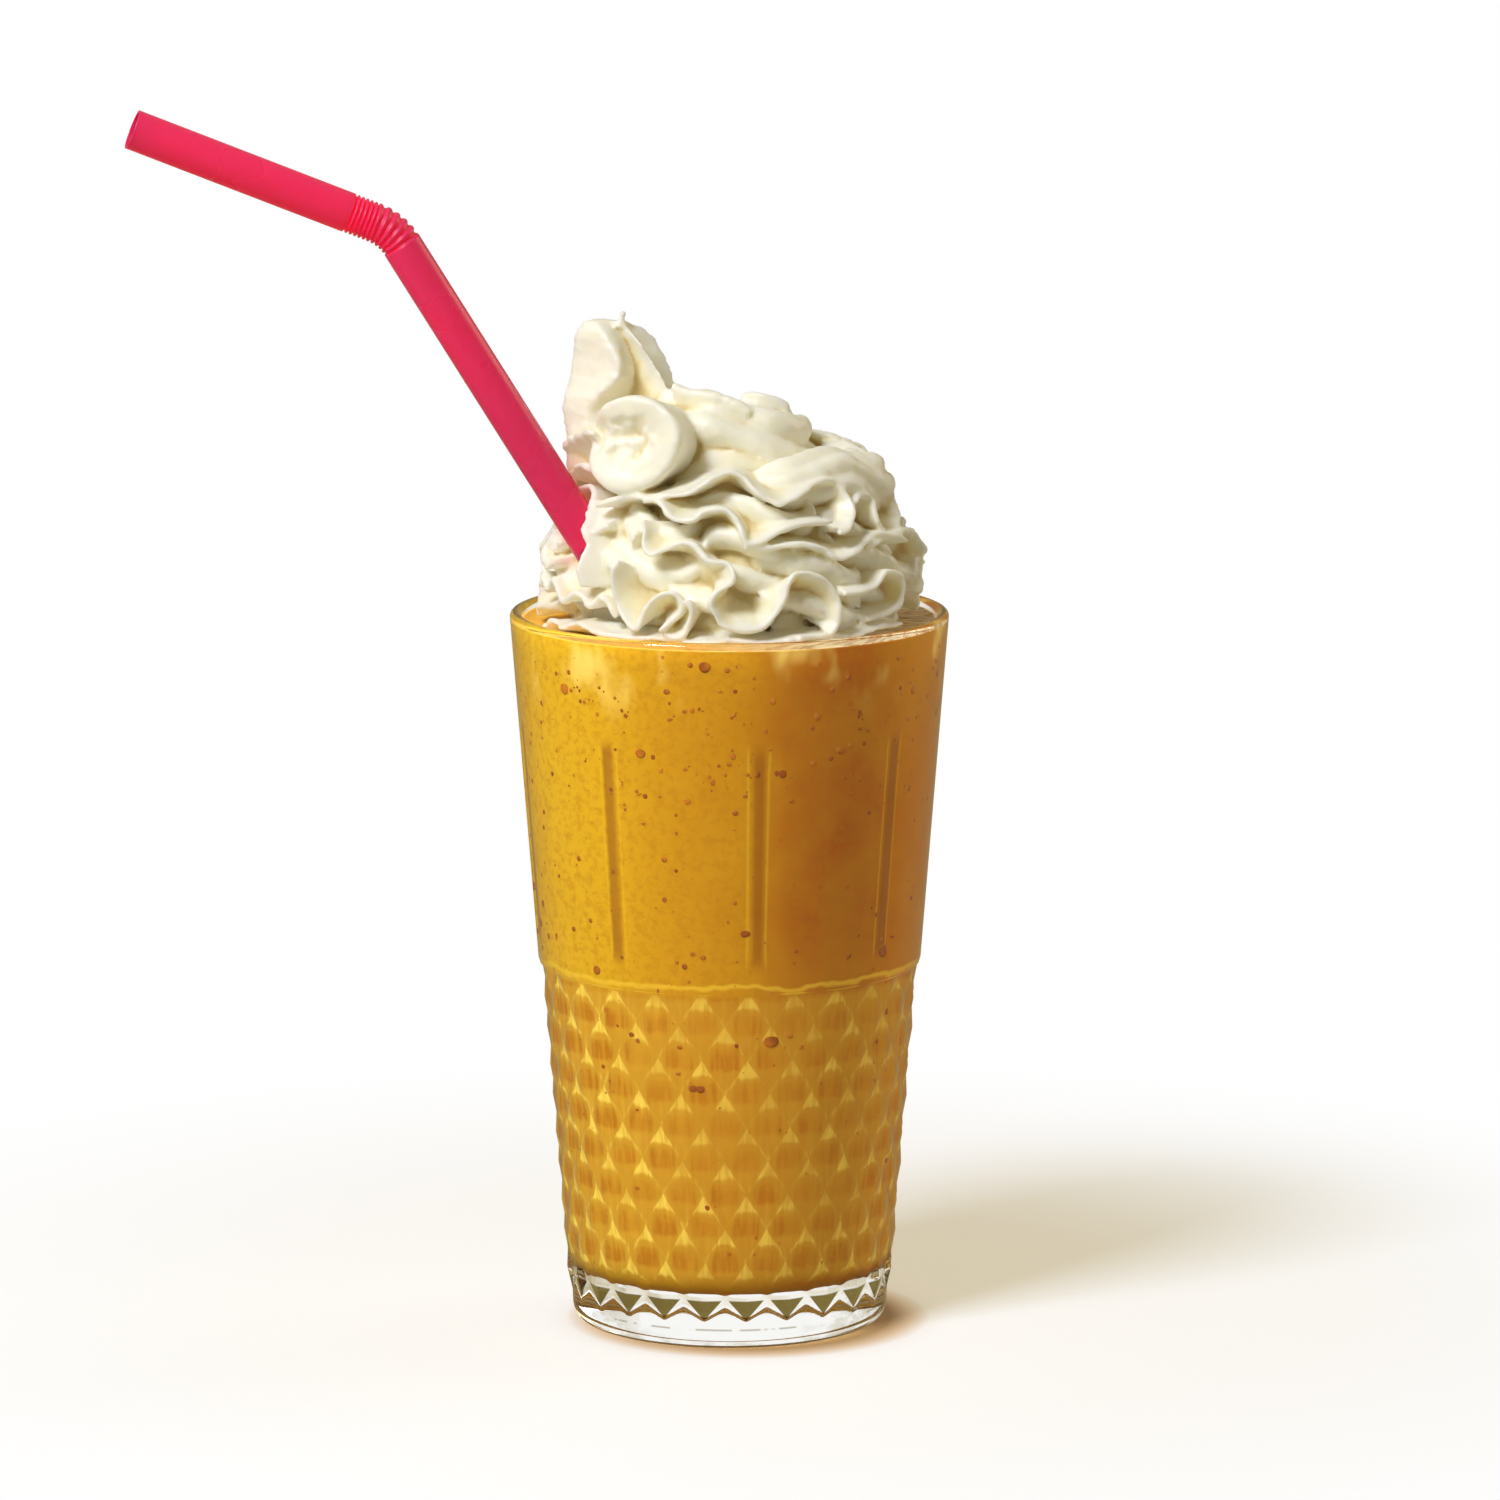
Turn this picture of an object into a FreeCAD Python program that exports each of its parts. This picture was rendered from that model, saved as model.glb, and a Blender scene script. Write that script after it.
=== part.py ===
import FreeCAD, Part
import math
import os

from FreeCAD import Vector

# A mango frappe in its pressed glass tumbler, with whipped cream and a bendy straw.
# Millimetres, +Z up. The origin is the centre of the glass's underside, and the
# drink is seen from the front, which is -Y, with +X on the right.

# --- Glass: the outside is one cone from foot to rim -------------------------
GLASS_HEIGHT = 137.0
RIM_RADIUS = 41.7            # where the cone would meet the rim's plane
FOOT_RADIUS = 30.9           # where the cone would meet the ground
WALL_AT_RIM = 2.4
WALL_AT_FLOOR = 4.2
FLOOR_THICKNESS = 10.0
FLOOR_ROUNDING = 5.0         # inside corner between floor and wall
FOOT_ROUNDING = 3.0          # outside corner under the foot
LIP_ROUNDING = 1.1           # both edges of the lip

# --- Glass: the band of raised four-sided diamonds ----------------------------
DIAMOND_COLUMNS = 24         # columns round the glass, with as many staggered between
DIAMOND_ROW = 6.6            # half a diamond's height, from one row of crossings to the next
ROW_COUNT = 9
PATTERN_BOTTOM = 10.4        # first row of crossings
PATTERN_TIP = 4.7            # how far the lowest points hang below that row
PATTERN_TURN = -91.5         # angle of a column that has crossings on the first row
PATTERN_INSET = 0.35         # the diamonds' peaks lie this far inside the cone
RELIEF = 0.75                # height of a diamond's peak over its valleys
FOOT_PROUD = 0.15            # the smooth foot stands out from the valleys
SHOULDER_RISE = 1.6          # height of the step from the band to the plain cone
HIDDEN_LAP = 0.3             # how deep joined bodies run into each other

# --- Glass: the flutes of the plain cone --------------------------------------
FLUTE_COUNT = 8
FLUTE_TURN = -81.5
FLUTE_WIDTH = 3.4
FLUTE_DEPTH = 0.6
FLUTE_TAPER = 7.0            # length of each pointed end
FLUTE_ABOVE_BAND = 2.4
FLUTE_BELOW_RIM = 18.5

# --- Drink --------------------------------------------------------------------
LEVEL_BELOW_RIM = 2.0

# --- Straw: a bendy drinking straw --------------------------------------------
STRAW_RADIUS = 3.75
STRAW_WALL = 0.35
STRAW_ENTRY_X = -15.7        # where its axis crosses the level of the drink
STRAW_ENTRY_Y = -13.0
STRAW_LEAN = 31.75           # of the long arm, from the vertical, to the left
STRAW_HEADING = 188.5        # heading of both arms, seen from above
STRAW_RISE = 21.9            # of the short arm, over the horizontal
STRAW_OVER_DRINK = 86.6      # long arm, from the level to the first ridge
SHORT_ARM = 43.0
OPEN_RIDGES = 5              # ridges pulled apart, which make the whole turn
OPEN_PITCH = 1.37
CLOSED_RIDGES = 6            # ridges still pushed together, next to the short arm
CLOSED_PITCH = 0.87
RIDGE_DEPTH = 0.5
BORE_LAP = 2.0               # how far the bore's form runs out of both ends
STRAW_CLEARANCE = 0.5        # from the lower end to the glass

# --- Whipped cream: a fluted rope piped in a rising spiral ----------------------
CREAM_CLEARANCE = 0.7        # from the widest ruffle to the inside of the glass
ROPE_RADIUS = 12.0           # of the first turn
TOP_ROPE_RADIUS = 9.5        # of the last
ROPE_FINS = 7
FIN_DEPTH = 1.9              # height of the fins over and under the rope's radius
RUFFLES_PER_TURN = 9
RUFFLE_SWAY = 1.6            # waves of the rope as a whole
RUFFLE_SWING = 0.42          # waves of the fins round the rope, in radians
SPIRAL_START = -150.0        # angle at which the rope begins
SPIRAL_TURNS = 2.75
TIER_HEIGHTS = (6.5, 8.5, 21.5, 32.5)    # of the rope's middle over the drink, turn by turn
TIER_INSETS = (0.0, 0.0, 6.5, 17.5)      # of the rope's middle from the first turn's ring
TOP_X = -1.0                 # middle of the uppermost turn
PEAK_FOOT = (-19.0, -2.0, 33.0, 10.5)    # broad tail pulled up at the left: x, y,
PEAK_TIP = (-21.5, -3.0, 50.9, 6.6)      # height over the drink and radius
CURL_BACK = (-12.0, -10.0, 33.0, 9.5)    # rolled curl in front of the tail
CURL_FRONT = (-16.5, -19.0, 35.5, 8.0)
CREAM_ROUND = 90             # facets round the cream
CREAM_UP = 36                # facets from its rim to its top
ROPE_STEPS = 220
LOBE_STEPS = 24


def outer_radius(z):
    """Radius of the glass's outer cone."""
    return FOOT_RADIUS + (RIM_RADIUS - FOOT_RADIUS) * z / GLASS_HEIGHT


def valley_radius(z):
    """Radius of the valleys between the diamonds."""
    return outer_radius(z) - PATTERN_INSET - RELIEF


def peak_radius(z):
    """Radius of the diamonds' peaks."""
    return outer_radius(z) - PATTERN_INSET


def inner_radius(z):
    """Radius of the glass's inside."""
    at_floor = outer_radius(FLOOR_THICKNESS) - WALL_AT_FLOOR
    at_rim = RIM_RADIUS - WALL_AT_RIM
    share = (z - FLOOR_THICKNESS) / (GLASS_HEIGHT - FLOOR_THICKNESS)
    return at_floor + (at_rim - at_floor) * share


LEVEL = GLASS_HEIGHT - LEVEL_BELOW_RIM
BAND_TOP = PATTERN_BOTTOM + ROW_COUNT * DIAMOND_ROW
SHOULDER = BAND_TOP + SHOULDER_RISE / 2      # where the plain cone begins


def on_cylinder(radius, degrees, z):
    angle = math.radians(degrees)
    return Vector(radius * math.cos(angle), radius * math.sin(angle), z)


def section_point(radius, z):
    return Vector(radius, 0, z)


def line(start, end):
    return Part.LineSegment(start, end).toShape()


def rounded_corner(start, corner, end):
    """Arc tangent to both sides of a corner, from start to end, as far from it as each other."""
    half = (start - corner).getAngle(end - corner) / 2
    reach = (start - corner).Length * (1 / math.cos(half) - math.tan(half))
    inwards = ((start + end) * 0.5 - corner).normalize()
    return Part.Arc(start, corner + inwards * reach, end).toShape()


def revolved(edges):
    """Solid of revolution about Z of a closed outline in the XZ plane."""
    face = Part.Face(Part.Wire(edges))
    return face.revolve(Vector(0, 0, 0), Vector(0, 0, 1), 360)


def closed_on_axis(edges):
    """Joins an outline's two ends to the axis and revolves it."""
    first = edges[0].Vertexes[0].Point
    last = edges[-1].Vertexes[-1].Point
    foot = Vector(0, 0, first.z)
    head = Vector(0, 0, last.z)
    return revolved([line(foot, first)] + edges + [line(last, head), line(head, foot)])


def faceted_solid(triangles):
    faces = [Part.Face(Part.makePolygon([a, b, c, a])) for a, b, c in triangles]
    return Part.Solid(Part.Shell(faces))


# --- Glass ----------------------------------------------------------------------
def inside_of_glass(top):
    """Outline of the hollow's floor corner and wall, up to the given height."""
    corner = section_point(inner_radius(FLOOR_THICKNESS), FLOOR_THICKNESS)
    up = section_point(inner_radius(top), top)
    on_floor = corner - Vector(FLOOR_ROUNDING, 0, 0)
    on_wall = corner + (up - corner).normalize() * FLOOR_ROUNDING
    return [rounded_corner(on_floor, corner, on_wall), line(on_wall, up)]


def glass_foot():
    """Smooth body under the diamonds, with its rounded lower edge; its top ends inside them."""
    top = PATTERN_BOTTOM + DIAMOND_ROW / 4
    corner = section_point(valley_radius(0) + FOOT_PROUD, 0)
    up = section_point(valley_radius(top) - HIDDEN_LAP, top)
    on_side = corner + (up - corner).normalize() * FOOT_ROUNDING
    on_ground = corner - Vector(FOOT_ROUNDING, 0, 0)
    return closed_on_axis([rounded_corner(on_ground, corner, on_side), line(on_side, up)])


def diamond_band():
    """Faceted body whose side is the staggered net of four-sided pyramids.

    On each row, crossings in the valleys take turns with peaks. The next row is the same,
    one half column on. The lowest points of the net hang below the first row as tips.
    """
    half_step = 180.0 / DIAMOND_COLUMNS
    around = 2 * DIAMOND_COLUMNS
    rows = []
    for row in range(ROW_COUNT + 1):
        z = PATTERN_BOTTOM + row * DIAMOND_ROW
        ring = []
        for column in range(around):
            is_crossing = (column + row) % 2 == 0
            radius = valley_radius(z) if is_crossing else peak_radius(z)
            ring.append(on_cylinder(radius, PATTERN_TURN + column * half_step, z))
        rows.append(ring)
    tip_z = PATTERN_BOTTOM - PATTERN_TIP
    tips = [on_cylinder(valley_radius(tip_z), PATTERN_TURN + column * half_step, tip_z)
            for column in range(around)]
    triangles = []
    for row in range(ROW_COUNT):
        low, high = rows[row], rows[row + 1]
        for column in range(around):
            after = (column + 1) % around
            if (column + row) % 2 == 0:
                triangles.append((low[column], low[after], high[after]))
                triangles.append((low[column], high[after], high[column]))
            else:
                triangles.append((low[column], low[after], high[column]))
                triangles.append((low[after], high[after], high[column]))
    for column in range(1, around, 2):
        before = column - 1
        after = (column + 1) % around
        next_tip = (column + 2) % around
        triangles.append((rows[0][before], tips[column], rows[0][column]))
        triangles.append((rows[0][column], tips[column], rows[0][after]))
        triangles.append((rows[0][after], tips[column], tips[next_tip]))
        triangles.append((Vector(0, 0, tip_z), tips[next_tip], tips[column]))
    for column in range(around):
        after = (column + 1) % around
        triangles.append((Vector(0, 0, BAND_TOP), rows[-1][column], rows[-1][after]))
    return faceted_solid(triangles)


def plain_cone():
    """Upper body, from the step over the diamonds to the rounded lip."""
    bottom = BAND_TOP - SHOULDER_RISE / 2
    start = section_point(valley_radius(bottom) - HIDDEN_LAP, bottom)
    brow = section_point(peak_radius(BAND_TOP) + PATTERN_INSET / 2, BAND_TOP)
    end = section_point(outer_radius(SHOULDER), SHOULDER)
    rim = section_point(RIM_RADIUS, GLASS_HEIGHT)
    below_rim = rim + (end - rim).normalize() * LIP_ROUNDING
    on_rim = rim - Vector(LIP_ROUNDING, 0, 0)
    return closed_on_axis([
        line(start, brow),
        line(brow, end),
        line(end, below_rim),
        rounded_corner(below_rim, rim, on_rim),
    ])


def hollow():
    """What is cut out of the glass, flared at the top to round the lip."""
    below_rim = GLASS_HEIGHT - LIP_ROUNDING
    wall_end = section_point(inner_radius(below_rim), below_rim)
    corner = section_point(inner_radius(GLASS_HEIGHT), GLASS_HEIGHT)
    on_rim = corner + Vector((wall_end - corner).Length, 0, 0)
    over_rim = on_rim + Vector(0, 0, LIP_ROUNDING)
    lip = [rounded_corner(wall_end, corner, on_rim), line(on_rim, over_rim)]
    return closed_on_axis(inside_of_glass(below_rim) + lip)


def flute_cutter():
    """Spindle that leaves one shallow flute with pointed ends in the cone, at angle 0."""
    half_width = FLUTE_WIDTH / 2
    cutter_radius = (half_width ** 2 + FLUTE_DEPTH ** 2) / (2 * FLUTE_DEPTH)
    end_radius = cutter_radius - FLUTE_DEPTH
    low_z = SHOULDER + FLUTE_ABOVE_BAND
    high_z = GLASS_HEIGHT - FLUTE_BELOW_RIM
    low = section_point(outer_radius(low_z), low_z)
    high = section_point(outer_radius(high_z), high_z)
    along = (high - low).normalize()
    outward = Vector(along.z, 0, -along.x)
    low_axis = low + outward * end_radius
    high_axis = high + outward * end_radius

    def spindle_point(axis_point, distance, radius):
        return axis_point + along * distance + outward * radius

    bulge = end_radius + FLUTE_DEPTH * 0.75
    low_end = spindle_point(low_axis, 0, end_radius)
    low_full = spindle_point(low_axis, FLUTE_TAPER, cutter_radius)
    high_full = spindle_point(high_axis, -FLUTE_TAPER, cutter_radius)
    high_end = spindle_point(high_axis, 0, end_radius)
    edges = [
        line(low_axis, low_end),
        Part.Arc(low_end, spindle_point(low_axis, FLUTE_TAPER / 2, bulge), low_full).toShape(),
        line(low_full, high_full),
        Part.Arc(high_full, spindle_point(high_axis, -FLUTE_TAPER / 2, bulge), high_end).toShape(),
        line(high_end, high_axis),
        line(high_axis, low_axis),
    ]
    return Part.Face(Part.Wire(edges)).revolve(low_axis, along, 360)


def fluted_cone():
    cone = plain_cone()
    cutter = flute_cutter()
    for index in range(FLUTE_COUNT):
        turned = cutter.copy()
        turned.rotate(Vector(0, 0, 0), Vector(0, 0, 1), FLUTE_TURN + index * 360.0 / FLUTE_COUNT)
        cone = cone.cut(turned)
    return cone


def glass():
    return glass_foot().fuse(diamond_band()).fuse(fluted_cone()).cut(hollow())


# --- Straw ----------------------------------------------------------------------
def straw_arm(from_vertical):
    """Unit vector up an arm of the straw."""
    tilt = math.radians(from_vertical)
    heading = on_cylinder(1.0, STRAW_HEADING, 0)
    return heading * math.sin(tilt) + Vector(0, 0, 1) * math.cos(tilt)


def depth_in_drink():
    """Length of the straw under the level: its lower end leans on the inside of the glass."""
    entry = Vector(STRAW_ENTRY_X, STRAW_ENTRY_Y, LEVEL)
    arm = straw_arm(STRAW_LEAN)
    upper_edge = arm.cross(Vector(0, 0, 1).cross(arm)).normalize() * STRAW_RADIUS
    step = 0.25
    depth = 0.0
    room = math.inf
    while room > STRAW_CLEARANCE:
        depth += step
        end = entry - arm * depth
        near_wall = end + upper_edge
        to_wall = inner_radius(near_wall.z) - math.hypot(near_wall.x, near_wall.y)
        to_floor = (end - upper_edge).z - FLOOR_THICKNESS - FLOOR_ROUNDING
        room = min(to_wall, to_floor)
    return depth - step


def straw_stations():
    """Points up the straw, each with the direction there and whether it lies in a groove."""
    arm = straw_arm(STRAW_LEAN)
    short_arm = straw_arm(90 - STRAW_RISE)
    hinge = arm.cross(short_arm).normalize()
    half_turn = math.degrees(arm.getAngle(short_arm)) / (4 * OPEN_RIDGES)
    point = Vector(STRAW_ENTRY_X, STRAW_ENTRY_Y, LEVEL) - arm * depth_in_drink()
    stations = [(point, arm, False)]
    point = point + arm * (depth_in_drink() + STRAW_OVER_DRINK)
    stations.append((point, arm, False))
    tilt = FreeCAD.Rotation(hinge, half_turn)
    for index in range(2 * OPEN_RIDGES):
        arm = tilt.multVec(arm)
        point = point + arm * (OPEN_PITCH / 2)
        arm = tilt.multVec(arm)
        stations.append((point, arm, index % 2 == 0))
    for index in range(2 * CLOSED_RIDGES):
        point = point + arm * (CLOSED_PITCH / 2)
        stations.append((point, arm, index % 2 == 0))
    stations.append((point + arm * SHORT_ARM, arm, False))
    return stations


def tube_through(stations, radius):
    """Round body through the stations, drawn in at the grooves."""
    circles = []
    for point, arm, in_groove in stations:
        circles.append(Part.Wire(Part.makeCircle(radius - RIDGE_DEPTH * in_groove, point, arm)))
    return Part.makeLoft(circles, True, True)


def straw_outside():
    """The straw with its bore filled, for what is cut round it."""
    return tube_through(straw_stations(), STRAW_RADIUS)


def straw():
    stations = straw_stations()
    first, first_arm, _ = stations[0]
    last, last_arm, _ = stations[-1]
    stations[0] = (first - first_arm * BORE_LAP, first_arm, False)
    stations[-1] = (last + last_arm * BORE_LAP, last_arm, False)
    return straw_outside().cut(tube_through(stations, STRAW_RADIUS - STRAW_WALL))


# --- Drink ----------------------------------------------------------------------
def drink():
    """Fills the glass up to its level, round the straw and inside its lower end."""
    return closed_on_axis(inside_of_glass(LEVEL)).cut(straw())


# --- Whipped cream ----------------------------------------------------------------
def blend(start, end, share):
    return start + (end - start) * share


def along_list(values, place):
    """Value at a place along a list, straight between its entries."""
    index = min(int(place), len(values) - 2)
    return blend(values[index], values[index + 1], min(place - index, 1.0))


def rope_ball(share):
    """One ball of the piped rope: its centre, radius, heading and the fins' turn."""
    widest = inner_radius(LEVEL) - CREAM_CLEARANCE
    turns = share * SPIRAL_TURNS
    heading = math.radians(SPIRAL_START) + 2 * math.pi * turns
    first_ring = widest - ROPE_RADIUS - FIN_DEPTH - RUFFLE_SWAY
    place = turns * (len(TIER_HEIGHTS) - 1) / SPIRAL_TURNS
    inset = along_list(TIER_INSETS, place)
    wave = 2 * math.pi * RUFFLES_PER_TURN * turns
    ring = first_ring - inset + RUFFLE_SWAY * math.sin(wave)
    height = along_list(TIER_HEIGHTS, place)
    centre = on_cylinder(ring, math.degrees(heading), height)
    centre.x += TOP_X * share
    radius = blend(ROPE_RADIUS, TOP_ROPE_RADIUS, share)
    return centre, radius, heading, RUFFLE_SWING * math.sin(wave * 1.07)


def lobe_ball(start, end, share):
    """One ball of a lobe that runs between two given balls."""
    x, y, height, radius = [blend(a, b, share) for a, b in zip(start, end)]
    return Vector(x, y, height), radius, math.radians(SPIRAL_START), 2 * share


def cream_balls():
    """The rope, the tail pulled up from it and the curl, as rows of balls."""
    balls = [rope_ball(index / ROPE_STEPS) for index in range(ROPE_STEPS + 1)]
    for start, end in ((PEAK_FOOT, PEAK_TIP), (CURL_BACK, CURL_FRONT)):
        balls += [lobe_ball(start, end, index / LOBE_STEPS) for index in range(LOBE_STEPS + 1)]
    return balls


def exit_distance(direction, ball):
    """How far from the middle of the cream a ray leaves one fluted ball, or 0 if it misses."""
    centre, radius, heading, turn = ball
    along = direction.dot(centre)
    off_axis = centre.dot(centre) - along * along
    if off_axis >= radius * radius:
        return 0.0
    out = direction * (along + math.sqrt(radius * radius - off_axis)) - centre
    sideways = out.x * math.cos(heading) + out.y * math.sin(heading)
    around = math.atan2(out.z, sideways) + turn
    fin = 2 * abs(math.cos(0.5 * ROPE_FINS * around)) - 1
    fluted = radius + FIN_DEPTH * fin
    if off_axis >= fluted * fluted:
        return 0.0
    return along + math.sqrt(fluted * fluted - off_axis)


def cream_skin(direction, balls):
    """Outermost surface of the cream in one direction, clear of the glass's wall."""
    reach = max(exit_distance(direction, ball) for ball in balls)
    level_part = math.hypot(direction.x, direction.y)
    widest = inner_radius(LEVEL) - CREAM_CLEARANCE
    if reach * level_part > widest:
        reach = widest / level_part
    return direction * reach + Vector(0, 0, LEVEL)


def whipped_cream():
    """One solid: the outside of the coiled rope, flat on the drink and cut round the straw."""
    balls = cream_balls()
    rings = []
    for level in range(CREAM_UP):
        elevation = math.radians(90.0 * level / CREAM_UP)
        ring = []
        for column in range(CREAM_ROUND):
            azimuth = 2 * math.pi * column / CREAM_ROUND
            direction = Vector(
                math.cos(elevation) * math.cos(azimuth),
                math.cos(elevation) * math.sin(azimuth),
                math.sin(elevation),
            )
            ring.append(cream_skin(direction, balls))
        rings.append(ring)
    top = cream_skin(Vector(0, 0, 1), balls)
    middle = Vector(0, 0, LEVEL)
    triangles = []
    for column in range(CREAM_ROUND):
        after = (column + 1) % CREAM_ROUND
        triangles.append((middle, rings[0][after], rings[0][column]))
        triangles.append((rings[-1][column], rings[-1][after], top))
        for low, high in zip(rings, rings[1:]):
            triangles.append((low[column], low[after], high[after]))
            triangles.append((low[column], high[after], high[column]))
    pieces = faceted_solid(triangles).cut(straw_outside()).Solids
    return max(pieces, key=lambda piece: piece.Volume)


def main():
    os.makedirs("parts", exist_ok=True)
    nodes = {
        "glass": glass(),
        "drink": drink(),
        "whipped_cream": whipped_cream(),
        "straw": straw(),
    }
    for name, shape in nodes.items():
        piece, = shape.Solids
        box = piece.optimalBoundingBox()
        print("%-14s %9.0f mm3  %5d faces  valid %s" % (name, piece.Volume, len(piece.Faces), piece.isValid()))
        print("    x %.2f to %.2f, y %.2f to %.2f, z %.2f to %.2f"
              % (box.XMin, box.XMax, box.YMin, box.YMax, box.ZMin, box.ZMax))
        piece.exportStep("parts/%s.step" % name)


main()
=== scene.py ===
import math

import bpy
import numpy as np
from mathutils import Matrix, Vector, noise


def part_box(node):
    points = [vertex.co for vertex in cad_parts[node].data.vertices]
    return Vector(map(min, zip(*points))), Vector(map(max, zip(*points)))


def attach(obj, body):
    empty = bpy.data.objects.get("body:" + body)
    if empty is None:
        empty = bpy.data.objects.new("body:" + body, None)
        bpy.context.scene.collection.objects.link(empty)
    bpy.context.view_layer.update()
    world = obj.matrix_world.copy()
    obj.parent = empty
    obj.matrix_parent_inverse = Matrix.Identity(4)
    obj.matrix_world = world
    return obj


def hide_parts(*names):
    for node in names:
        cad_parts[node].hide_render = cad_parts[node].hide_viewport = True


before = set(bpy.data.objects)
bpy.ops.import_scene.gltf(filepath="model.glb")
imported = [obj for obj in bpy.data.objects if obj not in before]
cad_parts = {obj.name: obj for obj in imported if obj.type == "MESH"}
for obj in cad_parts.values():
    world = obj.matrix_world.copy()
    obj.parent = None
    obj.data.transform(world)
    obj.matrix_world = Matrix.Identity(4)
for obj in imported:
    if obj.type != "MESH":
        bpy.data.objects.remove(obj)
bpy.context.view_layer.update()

# Shapes are made in millimetres in the frame's axes, and add_mesh turns them into metres.
MM = 0.001
GLASS_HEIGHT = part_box("glass")[1][2] / MM
FLOOR_THICKNESS, LEVEL = (corner[2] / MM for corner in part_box("drink"))
random = np.random.default_rng(7)


# --- Mesh helpers -----------------------------------------------------------------
def circle(count):
    """Angles of that many points all round."""
    return np.linspace(0, 2 * math.pi, count, endpoint=False)


def round_axis(radius, angle, height):
    """Points at a radius and a height round the glass's axis."""
    return np.stack(np.broadcast_arrays(radius * np.cos(angle), radius * np.sin(angle), height), axis=-1)


def unit(vectors, least=0.0):
    """The vectors brought to a length of 1."""
    return vectors / (np.linalg.norm(vectors, axis=-1, keepdims=True) + least)


def add_mesh(name, points, faces):
    """New smooth object from points in millimetres and faces."""
    mesh = bpy.data.meshes.new(name)
    mesh.from_pydata([tuple(point * MM) for point in points], [], faces)
    mesh.validate()
    mesh.shade_smooth()
    piece = bpy.data.objects.new(name, mesh)
    bpy.context.scene.collection.objects.link(piece)
    return piece


def rings_to_faces(ring_count, ring_size, start=0):
    """Quads between closed rings of the same size that follow each other in the point list."""
    faces = []
    for ring in range(ring_count - 1):
        low = start + ring * ring_size
        high = low + ring_size
        for index in range(ring_size):
            after = (index + 1) % ring_size
            faces.append((low + index, low + after, high + after, high + index))
    return faces


def closed_tube(rings, start=0):
    """Points and faces of a row of rings with a fan on both ends, as one closed surface."""
    rings = np.array(rings)
    ring_count, ring_size = rings.shape[:2]
    points = list(rings.reshape(-1, 3)) + [rings[0].mean(axis=0), rings[-1].mean(axis=0)]
    faces = rings_to_faces(ring_count, ring_size, start)
    first_middle = start + ring_count * ring_size
    last = start + (ring_count - 1) * ring_size
    for index in range(ring_size):
        after = (index + 1) % ring_size
        faces.append((first_middle, start + after, start + index))
        faces.append((first_middle + 1, last + index, last + after))
    return points, faces


def smooth_max(first, second, radius):
    """Larger of two values, with a rounded change between them."""
    half = (first - second) / 2
    return (first + second) / 2 + np.sqrt(half * half + radius * radius)


def along_curve(points, spacing):
    """Evenly spaced points of a smooth curve through the given points."""
    points = np.array(points, dtype=float)
    padded = np.vstack([2 * points[0] - points[1], points, 2 * points[-1] - points[-2]])
    t = np.linspace(0, 1, 16, endpoint=False)[:, None]
    samples = []
    for p0, p1, p2, p3 in zip(padded, padded[1:], padded[2:], padded[3:]):
        samples.append(0.5 * (2 * p1 + (p2 - p0) * t + (2 * p0 - 5 * p1 + 4 * p2 - p3) * t ** 2
                              + (3 * p1 - p0 - 3 * p2 + p3) * t ** 3))
    dense = np.vstack(samples + [points[-1:]])
    steps = np.linalg.norm(np.diff(dense, axis=0), axis=1)
    length = np.concatenate([[0], np.cumsum(steps)])
    even = np.linspace(0, length[-1], max(4, int(length[-1] / spacing) + 1))
    return np.stack([np.interp(even, length, column) for column in dense.T], axis=1)


def along_loop(corners, steps, tension=0.7):
    """Closed smooth curve through corners, with the same number of steps between each two."""
    t = np.linspace(0, 1, steps, endpoint=False)[:, None]
    samples = []
    for index in range(len(corners)):
        p0, p1, p2, p3 = (corners[(index + offset) % len(corners)] for offset in (-1, 0, 1, 2))
        leave = tension * (p2 - p0)
        arrive = tension * (p3 - p1)
        samples.append(0.5 * (2 * p1 + leave * t + (6 * (p2 - p1) - 2 * leave - arrive) * t ** 2
                              + (4 * (p1 - p2) + leave + arrive) * t ** 3))
    return np.vstack(samples)


def softened(values, width):
    """Values blurred along the first axis, with the ends held."""
    reach = int(3 * width) + 1
    weights = np.exp(-0.5 * (np.arange(-reach, reach + 1) / width) ** 2)
    weights /= weights.sum()
    padded = np.pad(values, [(reach, reach), (0, 0)], mode="edge")
    return np.stack([np.convolve(column, weights, mode="valid") for column in padded.T], axis=1)


# --- Whipped cream ------------------------------------------------------------------
# The skin of the mound: radius of the ruffles' edges by height over the drink.
SKIN_HEIGHTS = (0.0, 14.5, 18.0, 25.0, 33.0, 36.0, 42.0, 60.0)
SKIN_RADII = (37.2, 36.6, 34.0, 31.5, 25.5, 16.0, 12.0, 8.0)
SKIN_DEGREE = math.radians(1) * 34     # length along the skin for one degree of azimuth
MOUND_HEIGHTS = (0.0, 3.0, 8.0, 14.0, 19.0, 25.0, 30.0, 34.0, 37.0, 40.0)
MOUND_DEPTH = 7.5                      # of the smooth body under the skin
RIBBON_STEP = 0.7
FLAP_STEP = 0.6
TORN_SIZE = 1.3                        # of the jags in torn edges
SWELL_SIZE = 9.0
NEVER_ZERO = 1e-9


def on_skin(azimuth, height, out):
    """Point over or under the mound's skin; azimuth in degrees, -90 at the front."""
    radius = np.interp(height, SKIN_HEIGHTS, SKIN_RADII) + out
    return round_axis(radius, np.radians(azimuth), LEVEL + height)


def wobble(points, size, seed):
    """Smooth random value between about -1 and 1 at each point."""
    return np.array([noise.noise(Vector(point / size) + Vector((seed, 0, 0))) for point in points])


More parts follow.
